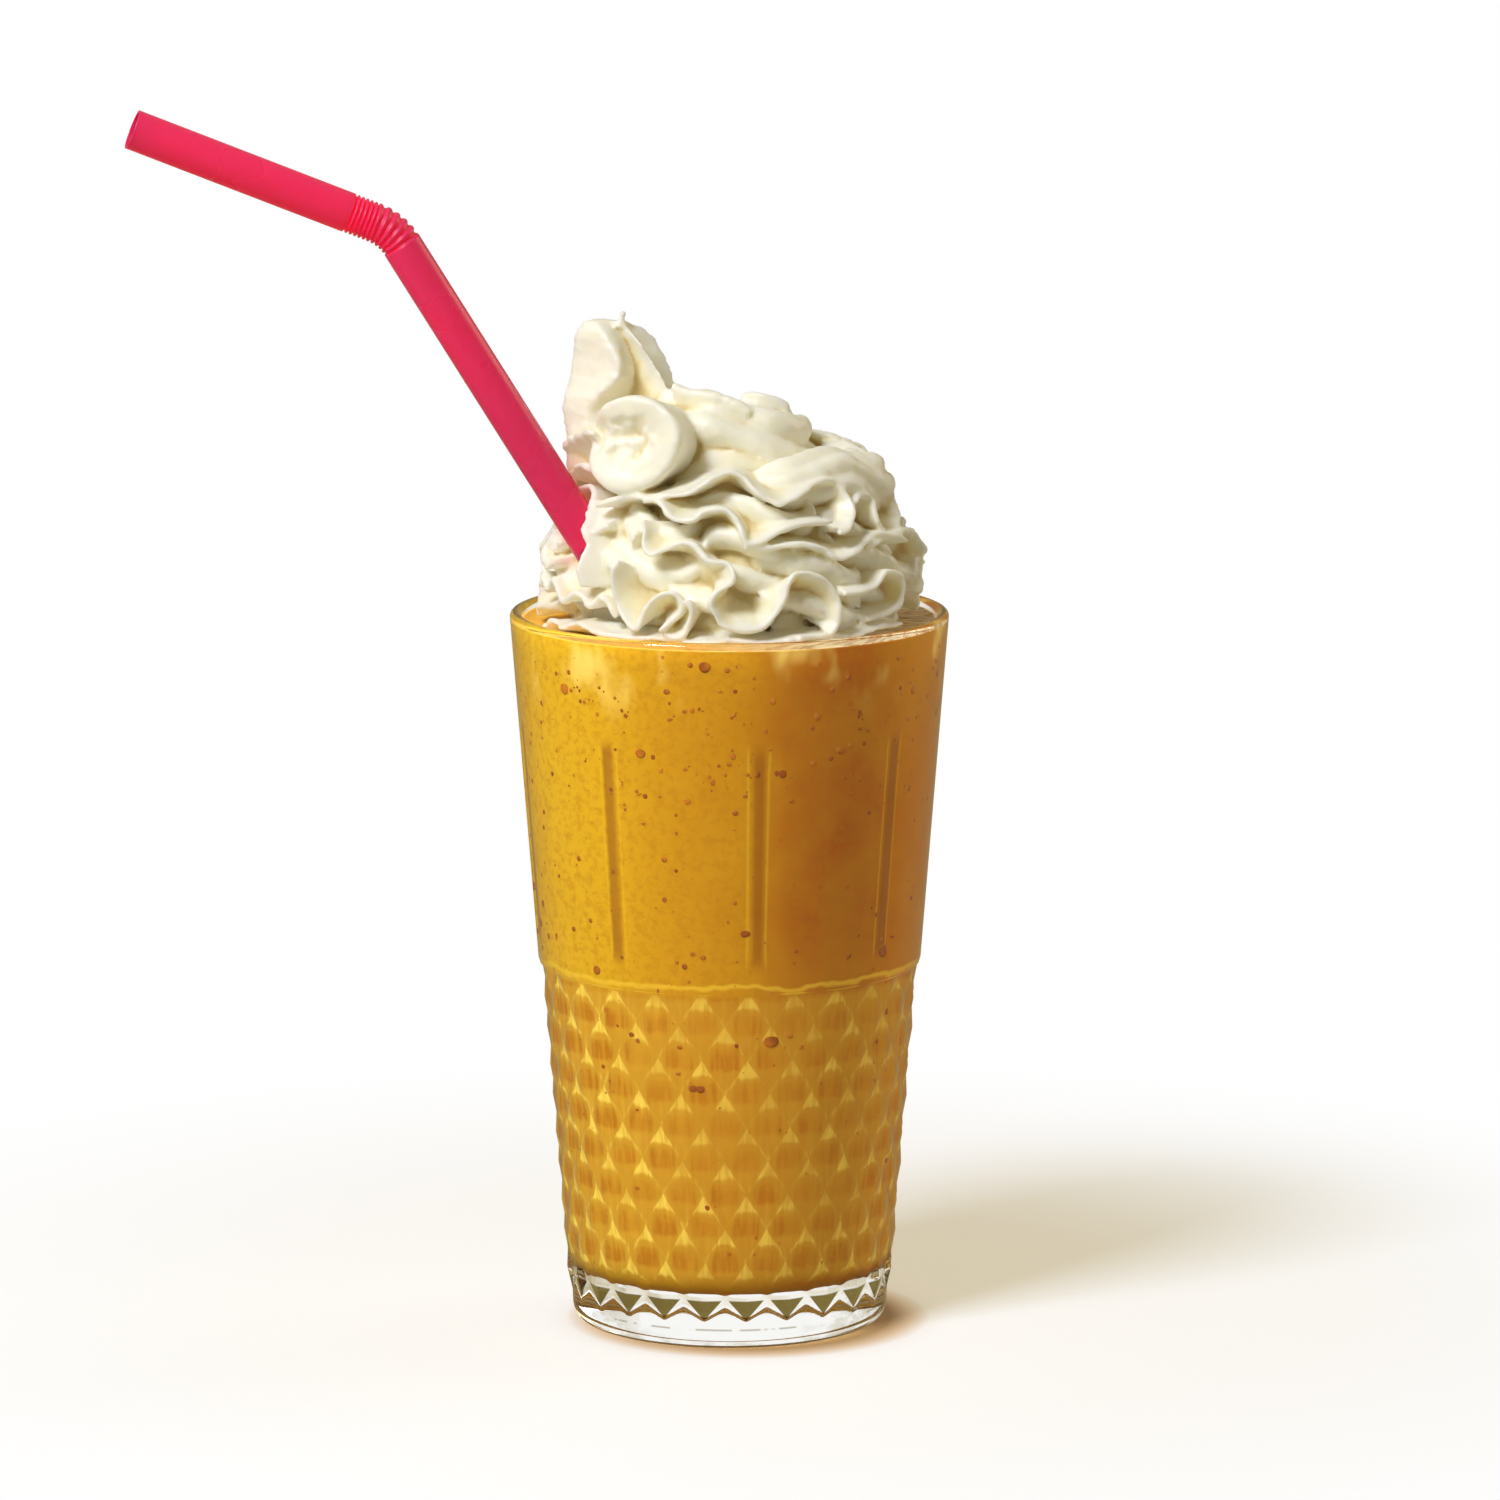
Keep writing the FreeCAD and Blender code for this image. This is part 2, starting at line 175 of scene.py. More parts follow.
def thick_sheet(edge_line, root_line, edge_thickness, root_thickness):
    """Closed surface round a sheet from an edge to a root, with a rounded edge."""
    across = np.linspace(0, 1, 7)[None, :, None]
    sheet = edge_line[:, None, :] * (1 - across) + root_line[:, None, :] * across
    inward = unit(np.gradient(sheet, axis=1))
    normal = unit(np.cross(np.gradient(sheet, axis=0), inward), NEVER_ZERO)
    thick = normal * (edge_thickness + (root_thickness - edge_thickness) * across ** 1.5) / 2
    cap = [sheet[:, 0]
           + (normal[:, 0] * math.sin(angle) - inward[:, 0] * math.cos(angle)) * edge_thickness / 2
           for angle in np.radians((60, 30, 0, -30, -60))]
    return np.concatenate([(sheet + thick)[:, ::-1], np.stack(cap, axis=1), sheet - thick], axis=1)


def ribbon(edge, out=0.5, depth=9.0, edge_thickness=1.05, root_thickness=4.2, settle=7.0,
           ragged=0.0, seed=0.0):
    """Thin wavy fold of cream: its free edge runs through (azimuth, height) points on the skin,
    and its root runs along a calmer line inside the mound."""
    flat = along_curve([(azimuth * SKIN_DEGREE, height) for azimuth, height in edge], RIBBON_STEP)
    calm = softened(flat, settle / RIBBON_STEP)
    azimuth, height = flat[:, 0] / SKIN_DEGREE, flat[:, 1]
    edge_line = on_skin(azimuth, height, out)
    jag = ragged * wobble(edge_line, TORN_SIZE, seed)
    swell = wobble(edge_line, SWELL_SIZE, seed + 5)
    edge_line = on_skin(azimuth, height, out + jag + swell - ragged)
    root_line = on_skin(calm[:, 0] / SKIN_DEGREE, calm[:, 1], -depth)
    return thick_sheet(edge_line, root_line, edge_thickness, root_thickness)


def star_rope(path, radius, phase, fins=8, groove=0.62, sharpness=1.3, seed=0.0):
    """Rope from a star nozzle along a path, with its fins turned by a phase along the way."""
    along = unit(np.gradient(path, axis=0))
    outward = path * (1, 1, 0)
    outward = unit(outward - along * np.sum(outward * along, axis=1, keepdims=True), NEVER_ZERO)
    upward = np.cross(outward, along)
    upward *= np.sign(upward[:, 2:3]) + (upward[:, 2:3] == 0)
    turn = circle(72)
    rings = []
    for index, centre in enumerate(path):
        around = turn + phase[index]
        crest = np.abs(np.cos(around * fins / 2)) ** sharpness
        fin = np.round(around * fins / (2 * math.pi)) % fins
        uneven = np.array([noise.noise(Vector((f * 3.1 + seed, index * 0.045, seed))) for f in fin])
        reach = radius[index] * (groove + (1 - groove) * crest * (1 + 0.55 * uneven))
        rings.append(centre + reach[:, None] * (np.cos(turn)[:, None] * outward[index]
                                                + np.sin(turn)[:, None] * upward[index]))
    return rings


def coil(first_azimuth, last_azimuth, rings, heights, radii, waves, swing, sway, seed):
    """One turn of the rope under the ruffles, whose fins swing and whose middle sways."""
    share = np.linspace(0, 1, int(abs(last_azimuth - first_azimuth) / 1.2))
    places = np.linspace(0, 1, len(rings))
    azimuth = np.radians(first_azimuth + (last_azimuth - first_azimuth) * share)
    wave = azimuth * waves + 0.9 * np.sin(azimuth * 2.3 + seed)
    ring = np.interp(share, places, rings) + sway * np.sin(wave + 1.0)
    height = np.interp(share, places, heights) + sway * 0.7 * np.cos(wave * 1.03)
    path = round_axis(ring, azimuth, LEVEL + height)
    return star_rope(path, np.interp(share, places, radii), swing * np.sin(wave), seed=seed)


def mound():
    """Smooth body inside the folds, down to the drink."""
    heights = np.array(MOUND_HEIGHTS)
    radii = np.interp(heights, SKIN_HEIGHTS, SKIN_RADII) - MOUND_DEPTH
    radii[0] += 1.5
    angle = circle(90)
    rings = []
    for height, radius in zip(heights, radii):
        lumpy = radius * (1 + 0.04 * np.sin(3 * angle + height * 0.2) + 0.03 * np.cos(7 * angle))
        rings.append(round_axis(lumpy, angle, LEVEL + height))
    return rings


# The rolled fold that faces the front: its axis, and its (radius, depth) from the bowl to the back.
CURL_FRONT = np.array([-18.6, -24.0, LEVEL + 37.0])
CURL_BACK = np.array([-13.0, -8.0, LEVEL + 34.5])
CURL_PROFILE = ((0.3, 2.7), (2.0, 2.9), (3.6, 2.3), (4.9, 1.2), (6.2, 0.6), (7.8, 0.2), (8.9, 0.2),
                (9.4, 0.9), (9.3, 2.6), (8.9, 7.0), (8.5, 13.0), (7.8, 19.0))
CURL_OPENS = math.radians(172)         # side on which the lip is broken


def curl():
    """Rolled fold: a short tube with a broad round lip and a shallow rough bowl."""
    axis = unit(CURL_BACK - CURL_FRONT)
    side = unit(np.cross(axis, (0, 0, 1)))
    up = np.cross(side, axis)
    turn = circle(120)
    from_opening = np.angle(np.exp(1j * (turn - CURL_OPENS)))
    opening = np.exp(-((from_opening / 0.55) ** 2))
    rings = []
    for reach, depth in along_curve(CURL_PROFILE, 0.5):
        wave = 1 + 0.05 * np.sin(2 * turn + 0.6) + 0.025 * np.sin(3 * turn + 1.0)
        wave = wave + 0.22 * opening * np.clip((6 - reach) / 4, 0, 1)
        fade = np.clip((reach - 3) / 4, 0, 1) * np.clip((8 - depth) / 7, 0, 1)
        ring = CURL_FRONT + axis * (depth + 5.5 * fade * opening[:, None])
        ring = ring + (up * 0.9 - side * 2.2) * max(0.0, 1 - reach / 8.5)
        ring = ring + reach * wave[:, None] * (np.cos(turn)[:, None] * side + np.sin(turn)[:, None] * up)
        rough = np.clip((6.4 - reach) / 2.2, 0, 1)
        ring -= axis * rough * (1.2 * wobble(ring, 2.1, 2.0) + 0.6 * wobble(ring, 0.9, 4.0))[:, None]
        rings.append(ring)
    return rings


# The pulled-up tail: for each fin and groove in turn, its x and y at heights over the drink.
TAIL_HEIGHTS = (28, 34, 40, 43.5, 47, 50, 53, 55.5, 57.4)
TAIL_CORNERS = (
    ((-24, -8), (-25, -8), (-26.5, -6.5), (-24.8, -7.2), (-20.8, -8), (-20.3, -7.8), (-21.8, -6.6),
     (-23.4, -5), (-25.3, -3)),                                     # front ridge
    ((-18, -6), (-18, -6), (-18, -4.5), (-17.6, -3), (-17.6, -2), (-18.2, -1.6), (-19.3, -1.6),
     (-20.8, -1.8), (-23.2, -1.8)),                                 # deep groove
    ((-9, -9), (-9, -8.5), (-9.6, -7.5), (-10.8, -7), (-12.6, -6.4), (-14.3, -5.8), (-16.3, -4.8),
     (-18.6, -3.4), (-20.6, -2.2)),                                 # second ridge, up to the tip
    ((-12, -2), (-12, -2), (-12.5, -1.5), (-13, -1), (-14, -0.6), (-15.2, -0.5), (-17, -0.4),
     (-18.6, -0.4), (-20.3, -0.8)),
    ((-6, 2), (-7, 2.4), (-8.6, 2.8), (-9.8, 3), (-10.6, 3), (-11.8, 2.8), (-13.6, 2.4),
     (-16.2, 1.8), (-20, 0.4)),                                   # shaded flap behind
    ((-13, 5), (-13, 5), (-14, 4.6), (-14.6, 4.2), (-15.2, 3.8), (-16, 3.4), (-17.2, 2.8),
     (-18.6, 2), (-20.8, 0.9)),
    ((-14, 11), (-14.5, 10.5), (-16, 9.5), (-17, 8.6), (-17.8, 7.6), (-18.6, 6.6), (-19.6, 5.2),
     (-20.8, 3.6), (-22.2, 1.6)),                                   # fin at the back
    ((-20, 6), (-20.5, 5.8), (-21, 5.2), (-21.4, 4.8), (-21.8, 4.4), (-22.2, 4), (-22.6, 3.2),
     (-23, 2.4), (-23.6, 1)),
    ((-26, 8), (-26.5, 7.6), (-27, 6.8), (-27, 6.2), (-27, 5.6), (-26.8, 5), (-26.6, 4.2),
     (-26.2, 3), (-25.4, 1.2)),                                     # fin at the back left
    ((-27, 2), (-27.2, 2), (-27.4, 2), (-27.4, 2), (-27.2, 1.9), (-27, 1.8), (-27, 1.4),
     (-26.8, 0.8), (-26.2, 0.2)),
    ((-30.5, -3), (-30.8, -3), (-31.3, -2.4), (-31.4, -2), (-29.9, -1.4), (-29.5, -1.2), (-29.3, -1.2),
     (-28.9, -1.4), (-27.6, -1.4)),                                 # left edge
    ((-28, -6), (-28.3, -6), (-29, -5), (-28.4, -4.8), (-25.7, -4.6), (-25.2, -4.3), (-25.8, -3.8),
     (-26.4, -3.1), (-26.6, -2.2)))                                 # smooth face at the front left


def tail():
    """The end of the rope, pulled up at the left, with deep grooves between few ragged fins."""
    corners = np.array(TAIL_CORNERS, dtype=float)
    rings = []
    for height in np.arange(TAIL_HEIGHTS[0], TAIL_HEIGHTS[-1] + 0.01, 0.42):
        section = np.array([(*(np.interp(height, TAIL_HEIGHTS, column) for column in corner.T),
                             LEVEL + height) for corner in corners])
        jag = 0.5 * wobble(section, 0.9, 6.0)
        jag[1::2] = 0.2 * jag[1::2]
        section = section + unit(section - section.mean(axis=0)) * jag[:, None]
        rings.append(along_loop(section, 8))
    return rings


def tail_tip():
    """Small drop at the very top of the tail."""
    path = np.array([(-20.6, -1.6, 56.2), (-20.3, -1.6, 57.3), (-20.1, -1.6, 58.0), (-20.0, -1.6, 58.8),
                     (-20.0, -1.6, 59.2)]) + (0, 0, LEVEL)
    return [centre + round_axis(radius, circle(16), 0.0)
            for centre, radius in zip(path, (1.5, 0.8, 0.65, 0.75, 0.35))]


def top_lump():
    """Fat turn of rope at the top right, behind the curl."""
    path = along_curve([(-16, 3, 36), (-9, -4.5, 36.5), (-1, -8, 36.3), (7, -5, 34.3), (9.5, 4, 31),
                        (2, 12, 29)], 0.7) + (0, 0, LEVEL)
    share = np.linspace(0, 1, len(path))
    radius = np.interp(share, (0, 0.2, 0.6, 1), (7.0, 8.2, 8.4, 8.0))
    radius = radius * (1 + 0.05 * np.sin(23 * share + 1) + 0.04 * np.sin(41 * share))
    return star_rope(path, radius, 0.5 + 1.2 * share + 0.25 * np.sin(14 * share), fins=6, groove=0.72,
                     sharpness=1.0, seed=9.0)


def right_bulge():
    """Soft fat fold of the second turn at the right."""
    path = along_curve([(6, -20, 27), (11.5, -18.6, 28.3), (17, -15, 28.5), (21.3, -9.8, 27.5),
                        (24.3, -3, 26.2), (24.5, 5, 25)], 0.7) + (0, 0, LEVEL)
    share = np.linspace(0, 1, len(path))
    radius = np.interp(share, (0, 0.25, 0.7, 1), (4.5, 6.4, 6.8, 6.4)) * (1 + 0.05 * np.sin(19 * share))
    return star_rope(path, radius, 0.8 * share + 0.3 * np.sin(11 * share), fins=7, groove=0.84,
                     sharpness=1.0, seed=14.0)


def flap(edge, root, edge_thickness=1.2, root_thickness=4.0, ragged=0.4, seed=0.0):
    """Free sheet of cream between an edge and a root, both through (x, y, height) points."""
    edge_line = along_curve(edge, FLAP_STEP)
    share = np.linspace(0, 1, len(edge_line))
    places = np.linspace(0, 1, len(root))
    root_line = np.stack([np.interp(share, places, column) for column in np.transpose(root)], axis=1)
    edge_line = edge_line + (0, 0, LEVEL)
    root_line = root_line + (0, 0, LEVEL)
    torn = ragged * wobble(edge_line, TORN_SIZE, seed)
    edge_line = edge_line + unit(edge_line - root_line) * torn[:, None]
    return thick_sheet(edge_line, root_line, edge_thickness, root_thickness)


# The folds seen from the front: the edge as (azimuth, height) points, and the fold's settings.
FRONT_FOLDS = (
    # S-shaped fold of the second turn, rolled over at its right end
    (((-121, 26.5), (-114, 27.7), (-106, 28.2), (-101, 29.5), (-93, 31.8), (-88, 32.1), (-84, 30.9),
      (-80, 28.5), (-75.5, 27.1), (-72, 26.5), (-66, 27.6), (-58, 29.4), (-51, 30), (-46.5, 29.5),
      (-43.5, 27.6), (-43, 24.9), (-45.5, 22.7), (-49, 21), (-53, 20.7)), dict(out=1, seed=1)),
    # arched fold under it
    (((-140, 24.9), (-132, 26.5), (-124, 27.2), (-116, 26.8), (-113, 26), (-109.5, 24.2), (-106, 23.6),
      (-101.5, 23.8), (-99, 25.1), (-95, 25.7), (-90.5, 25.5), (-87.5, 23.9), (-86, 22), (-85.3, 20.5),
      (-84, 19.5), (-79.6, 19.9), (-73.7, 21.6), (-66, 22.8), (-54.6, 22.8)), dict(out=0.6, seed=2)),
    # long meander of the first turn, from the left pocket to the round loops at the front
    (((-119.7, 23.4), (-118.3, 21.4), (-118.3, 19.5), (-116.6, 17.7), (-114.2, 17.2), (-112, 17.9),
      (-107.5, 19.1), (-104, 19.7), (-100.7, 19.2), (-98.6, 18), (-95.6, 16.5), (-90.4, 16.2),
      (-88.7, 14.5), (-89, 12.9), (-92.4, 11.6), (-94.5, 10.3), (-95.3, 8.9), (-94, 7.1), (-92.4, 5),
      (-88.7, 4.1), (-84.4, 3.7), (-80.4, 4.2), (-76, 7.1), (-73.8, 10), (-73, 12.3), (-70.8, 14.1),
      (-67.7, 14.3), (-64.2, 13.6), (-60, 11.8), (-57, 8.8), (-56.7, 5.8), (-57.8, 3.6), (-60.2, 2.2)),
     dict(out=0.3, depth=8, settle=10, seed=3)),
    # arch at the left of the loops and the tongue under it
    (((-124.8, 15.9), (-126.3, 12.2), (-124.4, 7.6), (-120.5, 4.6), (-118.5, 3.6), (-116.6, 3.9),
      (-114.4, 7.5), (-111, 9.9), (-107.7, 10.7), (-105, 10.4), (-103.5, 8.6), (-104, 6.9), (-106.7, 5.4),
      (-110, 3.4)), dict(out=0.2, depth=7, seed=4)),
    (((-110, 3.4), (-106.6, 2.2), (-103.4, 2.6), (-101.4, 5.3), (-100.5, 7.4), (-102, 9.5)),
     dict(out=0, depth=6, seed=5)),
    # right end of the middle folds and the fins that stand out at the right
    (((-85.4, 18.8), (-79.4, 18.5), (-73.8, 18.9), (-66, 19.1), (-59.3, 17.9), (-57.5, 17), (-53.7, 16),
      (-46.2, 16.9), (-40, 18.3), (-34, 19.4), (-27, 18.6), (-18, 16.8)),
     dict(out=0.5, ragged=0.3, seed=6)),
    (((-38, 17.5), (-30, 18.4), (-22, 18.6), (-12, 18.4), (-4, 17), (-1, 14), (-6, 11.5), (-12, 9.6),
      (-14, 6.5)), dict(out=0.8, ragged=0.8, edge_thickness=1.1, seed=7)),
    (((-54.5, 9.6), (-48, 9.6), (-40.5, 10.2), (-36, 12.5), (-29.5, 11.6), (-27.9, 9.1), (-29.4, 6.3),
      (-35, 4.8), (-45, 4.1)), dict(out=-0.4, depth=8, seed=8)),
    # crumbly folds at the left, behind and under the straw
    (((-205, 18), (-196, 15), (-188, 18), (-180, 15.5), (-172, 18), (-165, 15), (-160, 17)),
     dict(out=-0.8, ragged=0.9, edge_thickness=1.2, seed=10)),
    (((-176, 7), (-169, 10), (-163, 7.5), (-157, 10), (-150, 6.5), (-143, 8.5), (-137, 6.5), (-131, 8.5),
      (-126, 5)), dict(out=-0.4, ragged=0.9, edge_thickness=1.2, seed=11)),
    (((-166, -2), (-156, 2.2), (-148, 1.6), (-140, 3), (-131, 1.8), (-122, 1.5), (-112, 1.8), (-100, 1.2),
      (-90, 1.8), (-78, 1.2), (-66, 2), (-52, 1.4), (-40, 2.4), (-28, 2)),
     dict(out=0.2, ragged=0.9, depth=6, root_thickness=3, seed=12)))
# Flaps round the curl and the top turn: edge and root as (x, y, height) points, and settings.
TOP_FLAPS = (
    # pointed flap from the left edge to the mouth of the curl
    (((-31.2, -3.5, 33.6), (-29.6, -7.5, 35.6), (-27.4, -13, 37.4), (-25.2, -18, 38.2)),
     ((-24, -2, 29), (-23, -7, 30), (-20, -13, 32)), dict(ragged=0.7, seed=31)),
    # second one under it
    (((-29.6, -5, 28.5), (-28.8, -9, 30.5), (-27.4, -14, 31.5), (-24.4, -20, 31)),
     ((-22, -2, 26), (-20, -8, 26), (-17, -13, 27)), dict(ragged=0.7, seed=33)),
    # ragged edge that covers the lower end of the straw from its right
    (((-25.4, -16.5, 25.5), (-26.3, -18.5, 23), (-27, -20.5, 20.5), (-26.2, -21.8, 18), (-27.4, -23, 15.5),
      (-28, -23.8, 13), (-27, -24.2, 10)),
     ((-17, -17, 24), (-17, -20, 18), (-17, -21, 10)), dict(ragged=0.7, seed=41)),
    # step at the right of the top turn
    (((2.5, -4, 43.6), (6.5, -5.5, 43.3), (10.4, -5, 41.8), (11.6, -3, 38.2)),
     ((0, -1, 37), (4, -1, 36), (6, -1, 34)), dict(edge_thickness=1.6, ragged=0.4, seed=35)),
    # flap behind the fat turn at the right
    (((9, 1, 35.4), (13, 2.5, 36), (18, 3.5, 35.2), (22, 4.5, 33.2), (25, 5.5, 30)),
     ((7, 7, 27), (15, 9, 26), (21, 10, 23)), dict(ragged=0.5, seed=39)),
    # low ridge from the saddle to the top turn
    (((-10.5, -8.5, 45.4), (-6, -9.8, 44.2), (-1, -11, 43.6), (4, -12, 41)),
     ((-9, -5, 38), (-3, -5, 37), (3, -5, 36)),
     dict(edge_thickness=2.2, root_thickness=5, ragged=0.5, seed=37)))


# Tiers of folds round the sides and the back: middle height, swing, wavelength, first and last azimuth.
TIERS = ((6.5, 5.2, 17.0, -12, 190), (15.5, 3.4, 16.0, -8, 202), (23.5, 4.0, 18.0, -38, 222),
         (31.0, 2.6, 17.0, -30, 175))


def back_folds():
    """Folds all round the sides and the back, on waves of uneven length and height."""
    folds = []
    for middle, swing, length, azimuth, last in TIERS:
        points = []
        side = 1
        while azimuth < last:
            size = 0.75 + 0.5 * random.random()
            step = length * size / 2 / SKIN_DEGREE
            for share, level in ((-0.16, 0.55), (0.32, 1.0), (0.80, 0.55)):
                points.append((azimuth + share * step, middle + side * swing * size * level))
            azimuth += step
            side = -side
        folds.append(ribbon(points, out=-0.2 - 0.8 * random.random(), ragged=0.35, depth=8.0,
                            seed=20 + middle))
    return folds


def cream_shapes():
    """All closed surfaces whose union is the cream."""
    first_turn = coil(-150, 235, (21.0, 23.0, 23.5, 22.0), (8.0, 8.5, 9.0, 13.0), (11.0, 12.0, 12.0, 11.0),
                      waves=11, swing=0.34, sway=1.0, seed=2.0)
    second_turn = coil(215, 560, (20.3, 19.2, 17.0, 13.0), (15.0, 20.0, 23.0, 27.0), (11.0, 11.5, 11.0, 9.5),
                       waves=9, swing=0.30, sway=0.9, seed=5.0)
    shapes = [mound(), first_turn, second_turn, curl(), tail(), tail_tip(), top_lump(), right_bulge()]
    shapes += [ribbon(edge, **settings) for edge, settings in FRONT_FOLDS]
    shapes += [flap(edge, root, **settings) for edge, root, settings in TOP_FLAPS]
    return shapes + back_folds()


CREAM_VOXEL = 0.34
CREAM_TRIANGLES = 190000
CREAM_LUMPS = ((0.26, 4.6, 1.0), (0.17, 2.1, 2.0), (0.08, 1.0, 3.0))     # height, size, seed
FOLD_SMOOTHING = 60
DEEP_FOLD = 1.6


def vertex_vectors(mesh, name):
    """The place or the normal of every vertex."""
    vectors = np.empty(len(mesh.vertices) * 3)
    mesh.vertices.foreach_get(name, vectors)
    return vectors.reshape(-1, 3)


def depth_in_folds(mesh):
    """For each vertex, how far it lies under a much smoothed copy of the surface, from 0 to 1."""
    count = len(mesh.vertices)
    places = vertex_vectors(mesh, "co") / MM
    ends = np.empty(len(mesh.edges) * 2, dtype=int)
    mesh.edges.foreach_get("vertices", ends)
    first, second = ends[0::2], ends[1::2]
    share = np.bincount(first, minlength=count) + np.bincount(second, minlength=count)
    smooth = places
    for _ in range(FOLD_SMOOTHING):
        total = [np.bincount(first, column[second], count) + np.bincount(second, column[first], count)
                 for column in smooth.T]
        smooth = np.stack(total, axis=1) / share[:, None]
    return np.clip(np.sum((smooth - places) * vertex_vectors(mesh, "normal"), axis=1) / DEEP_FOLD, 0, 1)


def roughen(mesh):
    """Small uneven lumps all over, as whipped cream has."""
    places = vertex_vectors(mesh, "co")
    lumps = sum(height * wobble(places / MM, size, seed) for height, size, seed in CREAM_LUMPS)
    places += vertex_vectors(mesh, "normal") * lumps[:, None] * MM
    mesh.vertices.foreach_set("co", places.reshape(-1))
    mesh.update()


def build_cream():
    """Union of all the folds, softened, thinned out and marked with the depth of its folds."""
    points, faces = [], []
    for rings in cream_shapes():
        ring_points, ring_faces = closed_tube(rings, len(points))
        points += ring_points
        faces += ring_faces
    cream = add_mesh("cream_folds", points, faces)
    bpy.context.view_layer.objects.active = cream
    union = cream.modifiers.new("union", "REMESH")
    union.mode = "VOXEL"
    union.voxel_size = CREAM_VOXEL * MM
    soften = cream.modifiers.new("soften", "SMOOTH")
    soften.factor = 0.5
    soften.iterations = 5
    bpy.ops.object.modifier_apply(modifier="union")
    bpy.ops.object.modifier_apply(modifier="soften")
    roughen(cream.data)
    thin = cream.modifiers.new("thin", "DECIMATE")
    thin.use_collapse_triangulate = True
    thin.ratio = min(1.0, CREAM_TRIANGLES / (2 * len(cream.data.polygons)))
    bpy.ops.object.modifier_apply(modifier="thin")
    cream.data.validate()
    cream.data.shade_smooth()
    depth = cream.data.attributes.new("depth", "FLOAT", "POINT")
    depth.data.foreach_set("value", depth_in_folds(cream.data))
    return cream


# --- Glass ------------------------------------------------------------------------
# The sizes of the CAD glass: one cone, a band of raised diamonds and eight flutes.
RIM_RADIUS = 41.7
FOOT_RADIUS = 30.9
WALL_AT_RIM = 2.4
WALL_AT_FLOOR = 4.2
FLOOR_ROUNDING = 5.0
FOOT_ROUNDING = 3.0
LIP_ROUNDING = 1.1
HOLLOW_RADIUS = 25.0
HOLLOW_DEPTH = 0.9
DIAMOND_COLUMNS = 24
DIAMOND_ROW = 6.6
ROW_COUNT = 9
PATTERN_BOTTOM = 10.4
PATTERN_TIP = 4.7
PATTERN_TURN = -91.5
PATTERN_INSET = 0.35
RELIEF = 0.75
FOOT_PROUD = 0.15
BAND_TOP = PATTERN_BOTTOM + ROW_COUNT * DIAMOND_ROW
BAND_END = BAND_TOP - 0.8
SHOULDER = BAND_TOP + 0.8
UNDER_BAND = 0.3                       # how far the plain parts start under the diamonds' valleys
EDGE_ROUNDING = 0.03
CREST_ROUNDING = 0.07
FLUTE_COUNT = 8
FLUTE_TURN = -81.5
FLUTE_WIDTH = 3.4
FLUTE_DEPTH = 0.6
FLUTE_TAPER = 7.0
FLUTE_LOW = SHOULDER + 2.4
FLUTE_HIGH = GLASS_HEIGHT - 18.5
FLUTE_ROUNDING = 0.05
GLASS_COLUMNS = 384


def outer_radius(z):
    return FOOT_RADIUS + (RIM_RADIUS - FOOT_RADIUS) * z / GLASS_HEIGHT


def inner_radius(z):
    at_floor = outer_radius(FLOOR_THICKNESS) - WALL_AT_FLOOR
    at_rim = RIM_RADIUS - WALL_AT_RIM
    return at_floor + (at_rim - at_floor) * (z - FLOOR_THICKNESS) / (GLASS_HEIGHT - FLOOR_THICKNESS)


def valley_radius(z):
    return outer_radius(z) - PATTERN_INSET - RELIEF


def to_odd(values):
    """Distance to the nearest odd whole number."""
    return np.abs((values % 2) - 1)


def diamond_height(degrees, z):
    """Height over the valleys of the staggered net of four-sided pyramids, slightly rounded."""
    column = (degrees - PATTERN_TURN) / (180 / DIAMOND_COLUMNS)
    if z < PATTERN_BOTTOM:
        distance = to_odd(column) + (PATTERN_BOTTOM - z) / PATTERN_TIP
    else:
        row = (z - PATTERN_BOTTOM) / DIAMOND_ROW
        distance = smooth_max(to_odd(column + row), to_odd(column - row), EDGE_ROUNDING)
    over_valley = 1 - distance
    rounded = np.sqrt(over_valley ** 2 + CREST_ROUNDING ** 2) - CREST_ROUNDING
    return RELIEF * np.where(over_valley > 0, rounded, over_valley if z < PATTERN_BOTTOM else rounded)


def flute_depth(degrees, z):
    """Depth of the shallow flutes with pointed ends in the plain cone."""
    from_end = min(z - FLUTE_LOW, FLUTE_HIGH - z)
    if from_end <= 0:
        return np.zeros_like(degrees)
    full = 1 - (1 - min(from_end / FLUTE_TAPER, 1.0)) ** 2
    spacing = 360 / FLUTE_COUNT
    turned = (degrees - FLUTE_TURN + spacing / 2) % spacing - spacing / 2
    across = np.radians(turned) * outer_radius(z)
    cutter = (FLUTE_WIDTH ** 2 / 4 + FLUTE_DEPTH ** 2) / (2 * FLUTE_DEPTH)
    reach = np.clip((cutter - FLUTE_DEPTH * (1 - full)) ** 2 - across ** 2, 0, None)
    groove = np.sqrt(reach) - (cutter - FLUTE_DEPTH)
    eased = smooth_max(groove, 0.0, FLUTE_ROUNDING) - FLUTE_ROUNDING * 0.9
    return np.where(groove > -0.3, eased, 0.0).clip(0, None)


